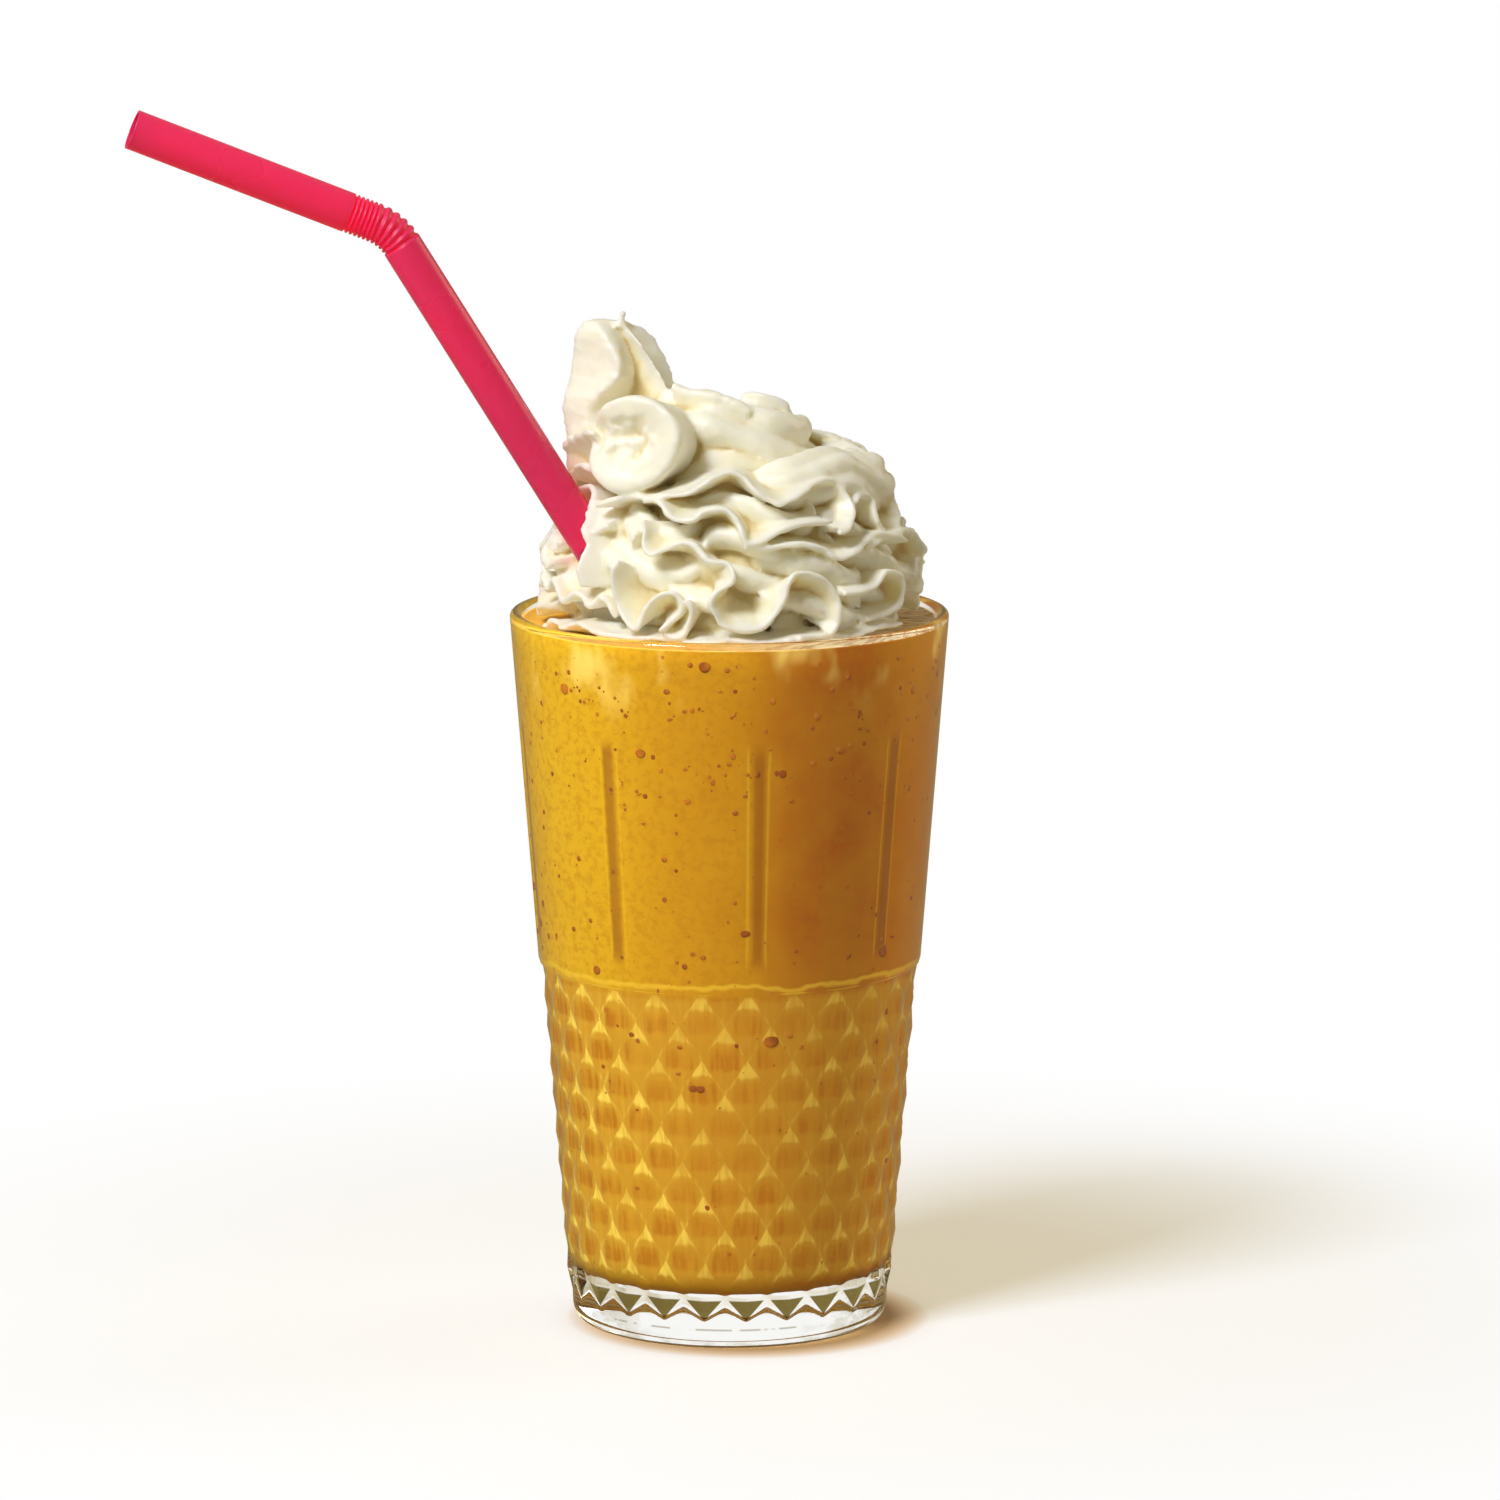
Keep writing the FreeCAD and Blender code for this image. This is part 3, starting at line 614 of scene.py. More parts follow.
def side_radius(degrees, z):
    """Outer radius of the glass all round at a height."""
    flat = np.ones_like(degrees)
    if z >= SHOULDER:
        return outer_radius(z) - flute_depth(degrees, z)
    band = valley_radius(z) + diamond_height(degrees, z)
    if z < PATTERN_BOTTOM + DIAMOND_ROW / 2:
        foot_top = PATTERN_BOTTOM + DIAMOND_ROW / 4
        foot = np.interp(z, (0, foot_top),
                         (valley_radius(0) + FOOT_PROUD, valley_radius(foot_top) - UNDER_BAND))
        if z > foot_top:
            foot = valley_radius(z) - UNDER_BAND
        return smooth_max(band, flat * foot, EDGE_ROUNDING)
    if z < BAND_END:
        return band
    brow = outer_radius(BAND_TOP) - PATTERN_INSET / 2
    shoulder = flat * np.interp(z, (BAND_END, BAND_TOP, SHOULDER),
                                (valley_radius(BAND_END) - UNDER_BAND, brow, outer_radius(SHOULDER)))
    return shoulder if z >= BAND_TOP else smooth_max(band, shoulder, 0.04)


def arc_stations(start, corner, end, count):
    """Points of a rounded corner from start to end, as (radius, height)."""
    start, corner, end = (np.array(point, dtype=float) for point in (start, corner, end))
    share = np.linspace(0, 1, count)[:, None]
    middle = corner * 0.86 + (start + end) * 0.07
    return (1 - share) ** 2 * start + 2 * share * (1 - share) * middle + share ** 2 * end


def build_glass():
    """Pressed glass, ring by ring: underside, foot, side, lip, then down the inside."""
    degrees = PATTERN_TURN + np.arange(GLASS_COLUMNS) * 360 / GLASS_COLUMNS
    foot_radius = valley_radius(0) + FOOT_PROUD
    tips = PATTERN_BOTTOM - PATTERN_TIP
    lip = GLASS_HEIGHT - LIP_ROUNDING
    rim_inside = inner_radius(GLASS_HEIGHT)
    wall_foot = FLOOR_THICKNESS + FLOOR_ROUNDING
    corner = inner_radius(FLOOR_THICKNESS)
    stations = [(radius, HOLLOW_DEPTH * (1 - (radius / HOLLOW_RADIUS) ** 2))
                for radius in (4.0, 12.0, 20.0, HOLLOW_RADIUS)]
    foot_arc = arc_stations((foot_radius - FOOT_ROUNDING, 0), (foot_radius, 0),
                            (foot_radius + 0.2, FOOT_ROUNDING), 8)
    side_at_arc = side_radius(degrees, FOOT_ROUNDING)
    stations += [(radius + (side_at_arc - foot_arc[-1][0]) * z / FOOT_ROUNDING, z) for radius, z in foot_arc]
    heights = (np.arange(FOOT_ROUNDING + 0.7, tips, 0.7),
               np.linspace(tips, PATTERN_BOTTOM, 9)[:-1],
               np.arange(PATTERN_BOTTOM, BAND_TOP - 0.85, DIAMOND_ROW / 12),
               np.linspace(BAND_END, SHOULDER, 9),
               np.linspace(SHOULDER + 0.8, FLUTE_LOW, 3),
               np.linspace(FLUTE_LOW + 0.7, FLUTE_LOW + FLUTE_TAPER, 10),
               np.linspace(FLUTE_LOW + FLUTE_TAPER + 2, FLUTE_HIGH - FLUTE_TAPER - 2, 12),
               np.linspace(FLUTE_HIGH - FLUTE_TAPER, FLUTE_HIGH, 11),
               np.linspace(FLUTE_HIGH + 2, lip, 7))
    stations += [(side_radius(degrees, z), z) for z in np.concatenate(heights)]
    stations += list(arc_stations((outer_radius(lip), lip), (RIM_RADIUS, GLASS_HEIGHT),
                                  (RIM_RADIUS - LIP_ROUNDING, GLASS_HEIGHT), 6)[1:])
    stations += list(arc_stations((rim_inside + LIP_ROUNDING, GLASS_HEIGHT), (rim_inside, GLASS_HEIGHT),
                                  (inner_radius(lip), lip), 6))
    stations += [(inner_radius(z), z) for z in np.linspace(lip - 1, wall_foot + 3, 12)]
    stations += list(arc_stations((inner_radius(wall_foot), wall_foot), (corner, FLOOR_THICKNESS),
                                  (corner - FLOOR_ROUNDING, FLOOR_THICKNESS), 8))
    stations += [(14.0, FLOOR_THICKNESS), (5.0, FLOOR_THICKNESS)]
    return add_mesh("glass_pressed", *closed_tube([round_axis(radius, np.radians(degrees), z)
                                                   for radius, z in stations]))


# --- Drink ------------------------------------------------------------------------
INTO_WALL = 0.15             # the drink reaches this far into the glass, so no air gap shows
MENISCUS = 0.5


def build_drink():
    """Body of the drink, with a raised edge where it wets the glass and a gently frothy top."""
    angle = circle(192)
    corner = inner_radius(FLOOR_THICKNESS) + INTO_WALL
    floor = FLOOR_THICKNESS - INTO_WALL
    wall_foot = FLOOR_THICKNESS + FLOOR_ROUNDING
    edge = inner_radius(LEVEL)
    profile = [(5.0, floor), (14.0, floor)]
    profile += list(arc_stations((corner - FLOOR_ROUNDING, floor), (corner, floor),
                                 (inner_radius(wall_foot) + INTO_WALL, wall_foot), 8))
    profile += [(inner_radius(z) + INTO_WALL, z) for z in np.linspace(wall_foot + 4, LEVEL, 24)]
    profile += [(edge + 0.1, LEVEL + MENISCUS), (edge - 0.25, LEVEL + MENISCUS * 0.8),
                (edge - 0.7, LEVEL + MENISCUS * 0.35), (edge - 1.4, LEVEL + 0.05)]
    profile += [(radius, LEVEL) for radius in np.arange(edge - 2.2, 2.0, -0.9)]
    rings = []
    for radius, z in profile:
        ring = round_axis(radius, angle, z)
        if z >= LEVEL - 0.01 and radius < edge - 0.5:
            ring[:, 2] += 0.22 * wobble(ring, 2.6, 3.0) + 0.12 * wobble(ring, 1.1, 8.0) - 0.1
        rings.append(ring)
    return add_mesh("mango_frappe", *closed_tube(rings))


# Bubbles against the glass as (azimuth, height, radius): the ones that stand out at the front.
FRONT_BUBBLES = (
    (-141, 126.2, 1.25), (-138.7, 129.4, 0.5), (-144.2, 128.7, 0.45), (-134.9, 124.2, 0.4),
    (-129, 122.1, 0.45), (-115.5, 115.5, 0.95), (-111.7, 114.9, 0.5), (-114.5, 107.3, 0.5),
    (-115.5, 102, 0.35), (-109.4, 95.4, 0.6), (-96.5, 132.6, 1.2), (-90.5, 131.9, 0.5),
    (-88.3, 127.9, 0.4), (-82.2, 112, 0.7), (-74.8, 112, 0.85), (-65.1, 122.6, 0.75),
    (-57.1, 115.8, 0.85), (-65.7, 113.6, 0.6), (-29.6, 125.1, 0.9), (-38, 131.8, 0.45),
    (-39.3, 82.7, 0.5), (-34.4, 75.3, 1.35), (-36, 77.6, 0.6), (-135.6, 72.5, 1),
    (-103.9, 74.9, 0.6), (-106.3, 75.6, 0.4), (-98, 76.7, 0.5), (-85.3, 81.4, 0.7),
    (-76.2, 60.3, 1.3), (-102, 51.1, 0.75), (-99.6, 51, 0.75), (-88.9, 115.5, 0.6),
    (-90, 114, 0.4), (-60.3, 114.3, 0.5), (-54.3, 116.4, 0.5), (-49.2, 116.4, 0.4),
    (-71.9, 106.6, 0.4), (-88.2, 104.6, 0.5), (-79.8, 120.2, 0.4), (-150.1, 109, 0.5),
    (-140.2, 93.6, 0.55), (-126.3, 92.1, 0.45), (-28.4, 62.8, 0.7), (-121.5, 59.5, 0.5))
# Rings of each dome, as (share of its radius, rise over the drink).
BUBBLE_PROFILE = ((1.0, -0.12), (0.97, 0.03), (0.72, 0.07), (0.3, 0.09))


def build_bubbles():
    """Low domes on the drink's side, with a thicker scatter near the top."""
    spots = list(FRONT_BUBBLES)
    for _ in range(600):
        azimuth = random.random() * 360
        z = 16 + (LEVEL - 18) * random.random() ** 0.55
        spots.append((azimuth, z, 0.12 + 0.5 * random.random() ** 3.5))
    for _ in range(34):
        azimuth = -22 + random.random() * 225
        spots.append((azimuth, 30 + 100 * random.random() ** 0.6, 0.5 + 0.8 * random.random() ** 2))
    for _ in range(90):
        azimuth = random.random() * 360
        z = 104 + 26 * random.random()
        spots.append((azimuth, z, 0.25 + 0.2 * random.random()))
        spots.append((azimuth + 1.5 * random.random(), z + 1.6 * random.random() - 0.8, 0.2))
    turn = circle(14)[:, None]
    up = np.array([0.0, 0.0, 1.0])
    points, faces = [], []
    for azimuth, z, size in spots:
        outward = round_axis(1.0, math.radians(azimuth), 0.0)
        centre = outward * (inner_radius(z) + INTO_WALL) + up * z
        squash = 0.85 + 0.3 * random.random()
        outline = size * (np.cos(turn) * np.cross(up, outward) * squash + np.sin(turn) * up)
        rings = [centre + reach * outline + outward * rise for reach, rise in BUBBLE_PROFILE]
        dome_points, dome_faces = closed_tube(rings, len(points))
        points += dome_points
        faces += dome_faces
    return add_mesh("bubbles", points, faces)


# --- Straw ------------------------------------------------------------------------
STRAW_RADIUS = 3.75
STRAW_WALL = 0.35
STRAW_ENTRY = np.array([-15.7, -13.0, LEVEL])
STRAW_LEAN = 31.75
STRAW_HEADING = math.radians(188.5)
STRAW_RISE = 21.9
STRAW_OVER_DRINK = 86.6
SHORT_ARM = 43.0
MOUTH_EDGE = 0.12            # rings this close keep the shading of the cut end crisp
RIDGES = ((1.37, 5, True), (0.87, 6, False))          # pitch, count and whether they bend
RIDGE_DEPTH = 0.5
RIDGE_STEPS = 10


def straw_arm(from_vertical):
    """Direction up an arm of the straw."""
    tilt = math.radians(from_vertical)
    return round_axis(math.sin(tilt), STRAW_HEADING, math.cos(tilt))


def straw_stations():
    """(centre, bend, depth of groove) all along the CAD straw's line, from its lower end."""
    lean = math.radians(STRAW_LEAN)
    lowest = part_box("straw")[0][2] / MM
    depth = (LEVEL - lowest - STRAW_RADIUS * math.sin(lean)) / math.cos(lean)
    turn_total = math.radians(90 - STRAW_RISE - STRAW_LEAN)
    foot = STRAW_ENTRY - straw_arm(STRAW_LEAN) * depth
    length = depth + STRAW_OVER_DRINK
    stations = [(foot + straw_arm(STRAW_LEAN) * length * share, 0.0, 0.0) for share in np.linspace(0, 1, 24)]
    point = stations[-1][0]
    bent = 0.0
    for pitch, count, bends in RIDGES:
        for step in range(count * RIDGE_STEPS):
            slice_turn = turn_total / (count * RIDGE_STEPS) if bends else 0.0
            bent += slice_turn
            point = point + straw_arm(STRAW_LEAN + math.degrees(bent - slice_turn / 2)) * pitch / RIDGE_STEPS
            groove = (1 - math.cos(2 * math.pi * (step + 1) / RIDGE_STEPS)) / 2
            stations.append((point, bent, groove ** 1.4))
    for share in (*np.linspace(0, 1, 12)[1:-1], 1 - MOUTH_EDGE / SHORT_ARM, 1):
        stations.append((point + straw_arm(90 - STRAW_RISE) * SHORT_ARM * share, bent, 0.0))
    return stations


def build_straw():
    """Hollow straw with rounded ridges at the bend: up its outside and back down its bore."""
    stations = straw_stations()
    turn = circle(72)[:, None]
    hinge = round_axis(1.0, STRAW_HEADING + math.pi / 2, 0.0)
    rings = []
    for radius, row in ((STRAW_RADIUS, stations), (STRAW_RADIUS - STRAW_WALL, reversed(stations))):
        for centre, bend, groove in row:
            across = np.cross(straw_arm(STRAW_LEAN + math.degrees(bend)), hinge)
            reach = radius - RIDGE_DEPTH * groove
            rings.append(centre + reach * (np.cos(turn) * hinge + np.sin(turn) * across))
    rings.append(rings[0])
    points = np.array(rings).reshape(-1, 3)
    faces = rings_to_faces(len(rings), len(turn))
    # The last ring is the first one again.
    count = len(points) - len(turn)
    return add_mesh("straw_bendy", points[:count], [tuple(index % count for index in face) for face in faces])


# --- Materials ----------------------------------------------------------------------
class Value:
    """Output of a node; sums with it add Math nodes."""

    def __init__(self, nodes, socket):
        self.nodes = nodes
        self.socket = socket

    def __add__(self, other):
        return self.nodes.math("ADD", self, other)

    def __sub__(self, other):
        return self.nodes.math("SUBTRACT", self, other)

    def __rsub__(self, other):
        return self.nodes.math("SUBTRACT", other, self)

    def __mul__(self, other):
        return self.nodes.math("MULTIPLY", self, other)

    def __truediv__(self, other):
        return self.nodes.math("DIVIDE", self, other)

    def __mod__(self, other):
        return self.nodes.math("FLOORED_MODULO", self, other)

    def __abs__(self):
        return self.nodes.math("ABSOLUTE", self)


class Nodes:
    """Nodes of a material or of the world, under construction."""

    def __init__(self, owner, output):
        owner.use_nodes = True
        self.owner = owner
        self.tree = owner.node_tree
        self.output = self.tree.nodes[output]

    def add(self, kind, inputs=None, output=0, **settings):
        """Output of a new node; an input is a number, a vector, a colour or another Value."""
        node = self.tree.nodes.new("ShaderNode" + kind)
        for key, value in settings.items():
            setattr(node, key, value)
        for socket, value in (inputs or {}).items():
            self.set(node.inputs[socket], value)
        return Value(self, node.outputs[output])

    def set(self, socket, value):
        if isinstance(value, Value):
            self.tree.links.new(value.socket, socket)
        elif socket.type == "RGBA":
            socket.default_value = (*value, 1.0)
        else:
            socket.default_value = value

    def math(self, operation, first, second=0.0, third=0.0, clamp=False):
        return self.add("Math", {0: first, 1: second, 2: third}, operation=operation, use_clamp=clamp)

    def parts(self, vector):
        """x, y and z of a vector."""
        return [self.add("SeparateXYZ", {0: vector}, output=axis) for axis in range(3)]

    def length(self, vector):
        return self.add("VectorMath", {0: vector}, output="Value", operation="LENGTH")

    def mix(self, share, first, second):
        """Colour between two others."""
        return self.add("Mix", {0: share, 6: first, 7: second}, output=2, data_type="RGBA")

    def ramp(self, value, *stops):
        """Number that follows the (place, level) stops smoothly."""
        result = self.add("ValToRGB", {0: value})
        ramp = result.socket.node.color_ramp
        ramp.interpolation = "EASE"
        # A new ramp has two elements: the ends go there.
        for index, (place, level) in enumerate((stops[0], stops[-1], *stops[1:-1])):
            element = ramp.elements[index] if index < 2 else ramp.elements.new(place)
            element.position = place
            element.color = (level, level, level, 1)
        return result

    def noise(self, vector, scale, detail=2.0, roughness=0.5, stretch=None, turn=0.0):
        if stretch:
            vector = self.add("Mapping", {0: vector, 2: (0.0, 0.0, turn), 3: stretch})
        inputs = {"Vector": vector, "Scale": scale, "Detail": detail, "Roughness": roughness}
        return self.add("TexNoise", inputs)

    def bump(self, strength, distance, height):
        return self.add("Bump", {"Strength": strength, "Distance": distance * MM, "Height": height})

    def ray(self, kind):
        """1 for the kind of ray."""
        return self.add("LightPath", output=f"Is {kind} Ray")

    def principled(self, **values):
        """The principled shader, with its sockets set by name."""
        shader = self.tree.nodes["Principled BSDF"]
        for name, value in values.items():
            self.set(shader.inputs[name.replace("_", " ")], value)
        return Value(self, shader.outputs[0])

    def mix_shaders(self, share, first, second):
        return self.add("MixShader", {0: share, 1: first, 2: second})

    def let_light_through(self, shader, tint):
        """The shader, whose shadow rays pass with a tint."""
        return self.mix_shaders(self.ray("Shadow"), shader, self.add("BsdfTransparent", {"Color": tint}))

    def by_ray(self, seen, reflected, lighting):
        """Shows one thing directly and through the glass, another in gloss, and lights with a third."""
        directly = self.math("MAXIMUM", self.ray("Camera"), self.ray("Transmission"))
        return self.mix_shaders(directly, self.mix_shaders(self.ray("Glossy"), lighting, reflected), seen)

    def finish(self, shader):
        self.set(self.output.inputs["Surface"], shader)
        return self.owner


# Colours and levels are linear.
# Painted shade of the dark bell under each diamond's crossing.
SHADED_BELL = (0.41, 0.148, 0.003)
# The next two colours are painted light and painted shade of the drink: lit yellow and shaded amber.
LIT_YELLOW = (0.63, 0.378, 0.008)
SHADED_AMBER = (0.49, 0.220, 0.002)
PLAIN_LIGHT = (0.56, 0.56, 0.56)
VALLEY_LIGHT = (0.95, 0.95, 0.95)
RAMP_HEIGHT = 200                      # a colour ramp runs from 0 to 1, so heights are divided by this
FLUTE_SHARE = 38.0 / 4                 # radians to four-millimetre steps at the flutes
FLOOR_LINE = 4.1


def new_material(name):
    return Nodes(bpy.data.materials.new(name), "Material Output")


def round_the_glass(nodes):
    """Place, x, height in millimetres, angle about the axis and column of diamonds."""
    place = nodes.add("TexCoord", output="Object")
    x, y, z = nodes.parts(place)
    angle = nodes.math("ARCTAN2", y, x)
    column = (angle - math.radians(PATTERN_TURN)) / math.radians(180 / DIAMOND_COLUMNS)
    return place, x, z * (1 / MM), angle, column


def glass_material():
    """Clear glass with painted shade: an olive tint where one looks along it, and painted dark streaks, a
    dark line and dark tips in its foot.
    """
    nodes = new_material("pressed_glass")
    place, _, height, _, column = round_the_glass(nodes)
    entering = 1.0 - nodes.add("NewGeometry", output="Backfacing")
    facing = nodes.add("LayerWeight", {"Blend": 0.5}, output="Facing")
    # The olive tint at grazing angles is partly a longer path through the glass and partly painted shade on
    # the glass's sides.
    grazing = nodes.ramp(facing, (0.45, 0.0), (1.0, 1.0))
    tint = nodes.mix(grazing, (0.985, 0.99, 0.97), (0.62, 0.56, 0.33))
    # Towards its sides the thick foot gets olive streaks of painted shade.
    in_foot = nodes.ramp(height / GLASS_HEIGHT, (0.082, 1.0), (0.10, 0.0))
    in_foot = in_foot * nodes.ramp(facing, (0.10, 0.0), (0.38, 1.0))
    streaks = nodes.noise(place, 150.0, 3.0, 0.6, stretch=(1.0, 1.0, 1.7))
    streaks = nodes.ramp(streaks, (0.44, 0.0), (0.58, 0.62)) * in_foot
    tint = nodes.mix(streaks, tint, (0.36, 0.29, 0.10))
    # A broken dark line of painted shade under the tips stands in for the edge of the glass's inner floor,
    # seen through the foot.
    broken = nodes.ramp(nodes.noise(place, 190.0, stretch=(1.0, 1.0, 0.0)), (0.47, 0.0), (0.52, 0.8))
    line = nodes.ramp(abs(height - FLOOR_LINE), (0.12, 1.0), (0.26, 0.0)) * broken
    tint = nodes.mix(line * entering, tint, (0.20, 0.14, 0.04))
    # Each hanging tip gets painted shade, standing in for the dark ground that its facets face.
    aside = abs(column % 2.0 - 1.0)
    under = (PATTERN_BOTTOM - height) / PATTERN_TIP
    inside = nodes.ramp(1.0 - aside - under, (0.02, 0.0), (0.07, 1.0))
    below = nodes.ramp(under, (0.07, 0.0), (0.13, 1.0))
    tint = nodes.mix(inside * below * entering, tint, (0.045, 0.026, 0.002))
    glass = nodes.principled(Base_Color=tint, Roughness=0.0, IOR=1.46, Transmission_Weight=1.0)
    return nodes.finish(nodes.let_light_through(glass, (0.93, 0.94, 0.9)))


def light_in_diamonds(nodes, place, height, column):
    """How much light the diamonds gather, from 0 to 1: a bright peak under each crossing and a
    dark bell below it."""
    row = (height - PATTERN_BOTTOM) / DIAMOND_ROW
    # Both run from -1 to 1 about the middle of the diamond.
    total = (column + row) % 2.0 - 1.0
    spread = (column - row) % 2.0 - 1.0
    up = (total - spread) * 0.5
    across = abs((total + spread) * 0.5)
    up = (nodes.noise(place, 330.0) - 0.5) * 0.30 + up
    from_valley = 1.0 - across - abs(up)
    along = nodes.math("MULTIPLY_ADD", up, 0.5, 0.5, clamp=True)
    lit = nodes.ramp(along, (0.0, 0.60), (0.33, 0.55), (0.43, 0.16), (0.52, 0.15), (0.62, 0.30), (0.70, 0.60),
                     (0.79, 1.0), (1.0, 1.0))
    lit = nodes.mix(nodes.ramp(across, (0.50, 0.0), (0.72, 1.0)), lit, PLAIN_LIGHT)
    lit = nodes.mix(nodes.ramp(from_valley, (0.0, 0.42), (0.16, 0.0)), lit, VALLEY_LIGHT)
    streaks = nodes.noise(place, 1100.0, 3.0, stretch=(1.0, 1.0, 0.10))
    lit = nodes.mix(0.25, lit, nodes.ramp(streaks, (0.36, 0.1), (0.64, 0.9)))
    return nodes.mix(nodes.ramp(nodes.noise(place, 60.0), (0.3, 0.45), (0.6, 0.0)), lit, PLAIN_LIGHT)


def plain_drink(nodes, place, height, angle, sideways):
    """Colour over the diamonds, with painted light and shade: yellow on the lit left, red in the shade at the
    right, and lighter again at the far right.
    """
    # Painted light and shade across the drink: lit yellow at the left, shaded amber and red towards the
    # right, and a painted lighter edge at the far right.
    plain = nodes.mix(nodes.ramp(sideways, (0.15, 0.0), (0.5, 1.0)), LIT_YELLOW, SHADED_AMBER)
    plain = nodes.mix(nodes.ramp(sideways, (0.5, 0.0), (0.66, 1.0)), plain, (0.36, 0.082, 0.001))
    plain = nodes.mix(nodes.ramp(sideways, (0.69, 0.0), (0.83, 1.0)), plain, (0.47, 0.150, 0.001))
    clouds = nodes.ramp(nodes.noise(place, 45.0, 3.0, 0.6), (0.35, 0.0), (0.7, 0.30))
    plain = nodes.mix(clouds, plain, (0.60, 0.33, 0.010))
    pulp = nodes.ramp(nodes.noise(place, 650.0, 4.0, 0.7), (0.44, 0.0), (0.66, 0.45))
    plain = nodes.mix(pulp, plain, (0.40, 0.160, 0.002))
    smudge = nodes.ramp(nodes.noise(place, 75.0, 3.0, stretch=(1.0, 1.0, 0.55)), (0.50, 0.0), (0.64, 1.0))
    smudge = smudge * nodes.ramp(height / GLASS_HEIGHT, (0.86, 0.0), (0.965, 0.75))
    plain = nodes.mix(smudge, plain, (0.85, 0.62, 0.14))
    # Each flute's light is painted on the drink: a stripe of painted shade between two painted light lines.
    pitch = 2 * math.pi / FLUTE_COUNT
    beside = (angle + (pitch / 2 - math.radians(FLUTE_TURN))) % pitch - pitch / 2
    from_flute = abs(beside * FLUTE_SHARE)
    low, high = FLUTE_LOW / RAMP_HEIGHT, FLUTE_HIGH / RAMP_HEIGHT
    height_share = height / RAMP_HEIGHT
    along = nodes.ramp(height_share, (low, 0.0), (low + 0.02, 1.0))
    along = along * nodes.ramp(height_share, (high - 0.02, 1.0), (high, 0.0))
    plain = nodes.mix(nodes.ramp(from_flute, (0.16, 0.62), (0.48, 0.0)) * along, plain, (0.27, 0.080, 0.001))
    edge = nodes.ramp(abs(from_flute - 0.52), (0.0, 0.5), (0.10, 0.0))
    plain = nodes.mix(edge * along, plain, (0.66, 0.40, 0.012))
    # Painted light line along the step over the diamonds.
    uneven = (nodes.noise(place, 130.0) - 0.5) * 3.0
    step_line = nodes.ramp(abs(height - (BAND_TOP + 0.9) + uneven), (0.1, 0.6), (0.6, 0.0))
    return nodes.mix(step_line, plain, (0.74, 0.48, 0.030))


def froth(nodes, place, sideways):
    """Colour of the top: ivory with brown ripples at the right, orange at the left."""
    ripples = nodes.noise(place, 520.0, 3.0, 0.6, stretch=(0.35, 2.2, 1.0), turn=0.35)
    ripples = nodes.mix(nodes.ramp(ripples, (0.44, 0.0), (0.62, 1.0)), (0.93, 0.78, 0.50), (0.58, 0.31, 0.12))
    return nodes.mix(nodes.ramp(sideways, (0.35, 0.0), (0.75, 1.0)), (0.98, 0.54, 0.07), ripples)


def drink_material():
    """Mango, with the light pattern that the diamonds and the flutes of the glass throw on it painted into
    its colour, and painted light and shade from its lit left to its shaded right.
    """
    nodes = new_material("mango")
    place, x, height, angle, column = round_the_glass(nodes)
    share_of_height = height / GLASS_HEIGHT
    sideways = nodes.math("MULTIPLY_ADD", x, 10.0, 0.5, clamp=True)
    lit = light_in_diamonds(nodes, place, height, column)
    # The diamond pattern is painted light and painted shade: dark bells, mid amber and bright yellow peaks.
    painted_diamond_light = nodes.mix(nodes.ramp(lit, (0.1, 0.0), (0.55, 1.0)), SHADED_BELL, (0.54, 0.285, 0.016))
    painted_diamond_light = nodes.mix(nodes.ramp(lit, (0.55, 0.0), (1.0, 1.0)), painted_diamond_light, (0.87, 0.65, 0.09))
    # Painted shade darkens the pattern towards the right.
    painted_diamond_light = nodes.mix(nodes.ramp(sideways, (0.25, 0.0), (0.55, 0.34)), painted_diamond_light, (0.46, 0.150, 0.002))
    in_band = nodes.ramp(share_of_height, (0.085, 0.0), (0.10, 1.0))
    in_band = in_band * nodes.ramp(share_of_height, (0.495, 1.0), (0.512, 0.0))
    body = nodes.mix(in_band, plain_drink(nodes, place, height, angle, sideways), painted_diamond_light)
    # Painted shade darkens the drink's lowest edge, over the glass's floor.
    low_edge = nodes.ramp(share_of_height, (0.075, 0.75), (0.092, 0.0))
    body = nodes.mix(low_edge, body, (0.36, 0.14, 0.002))
    # Fine specks of pulp, in a few of the cells.
    cells = {"Vector": place, "Scale": 420.0}
    speck = nodes.ramp(nodes.add("TexVoronoi", cells, output="Distance"), (0.10, 0.8), (0.20, 0.0))
    cell = nodes.add("SeparateColor", {0: nodes.add("TexVoronoi", cells, output="Color")})
    body = nodes.mix(speck * nodes.ramp(cell, (0.86, 0.0), (0.9, 1.0)), body, (0.32, 0.08, 0.005))
    upward = nodes.parts(nodes.add("NewGeometry", output="Normal"))[2]
    on_top = nodes.ramp(height - (LEVEL - 0.55), (0.2, 0.0), (0.35, 1.0))
    on_top = on_top * nodes.ramp(upward, (0.5, 0.0), (0.8, 1.0))
    body = nodes.mix(on_top, body, froth(nodes, place, sideways))
    return nodes.finish(nodes.principled(
        Base_Color=body, Roughness=0.5, Specular_IOR_Level=0.1,
        Normal=nodes.bump(0.15, 0.2, nodes.noise(place, 900.0, 3.0)),
        Subsurface_Weight=0.12, Subsurface_Radius=(1.2, 0.6, 0.2), Subsurface_Scale=MM))


def bubble_material():
    nodes = new_material("bubble_painted_shade")
    place = nodes.add("TexCoord", output="Object")
    # The bubbles' dark amber is painted shade of the hollows they stand for.
    tone = nodes.ramp(nodes.noise(place, 300.0, 1.0), (0.35, 0.0), (0.65, 1.0))
    cavity_shade = nodes.mix(tone, (0.25, 0.055, 0.001), (0.43, 0.135, 0.004))
    return nodes.finish(nodes.principled(Base_Color=cavity_shade, Roughness=0.35, Specular_IOR_Level=0.2))


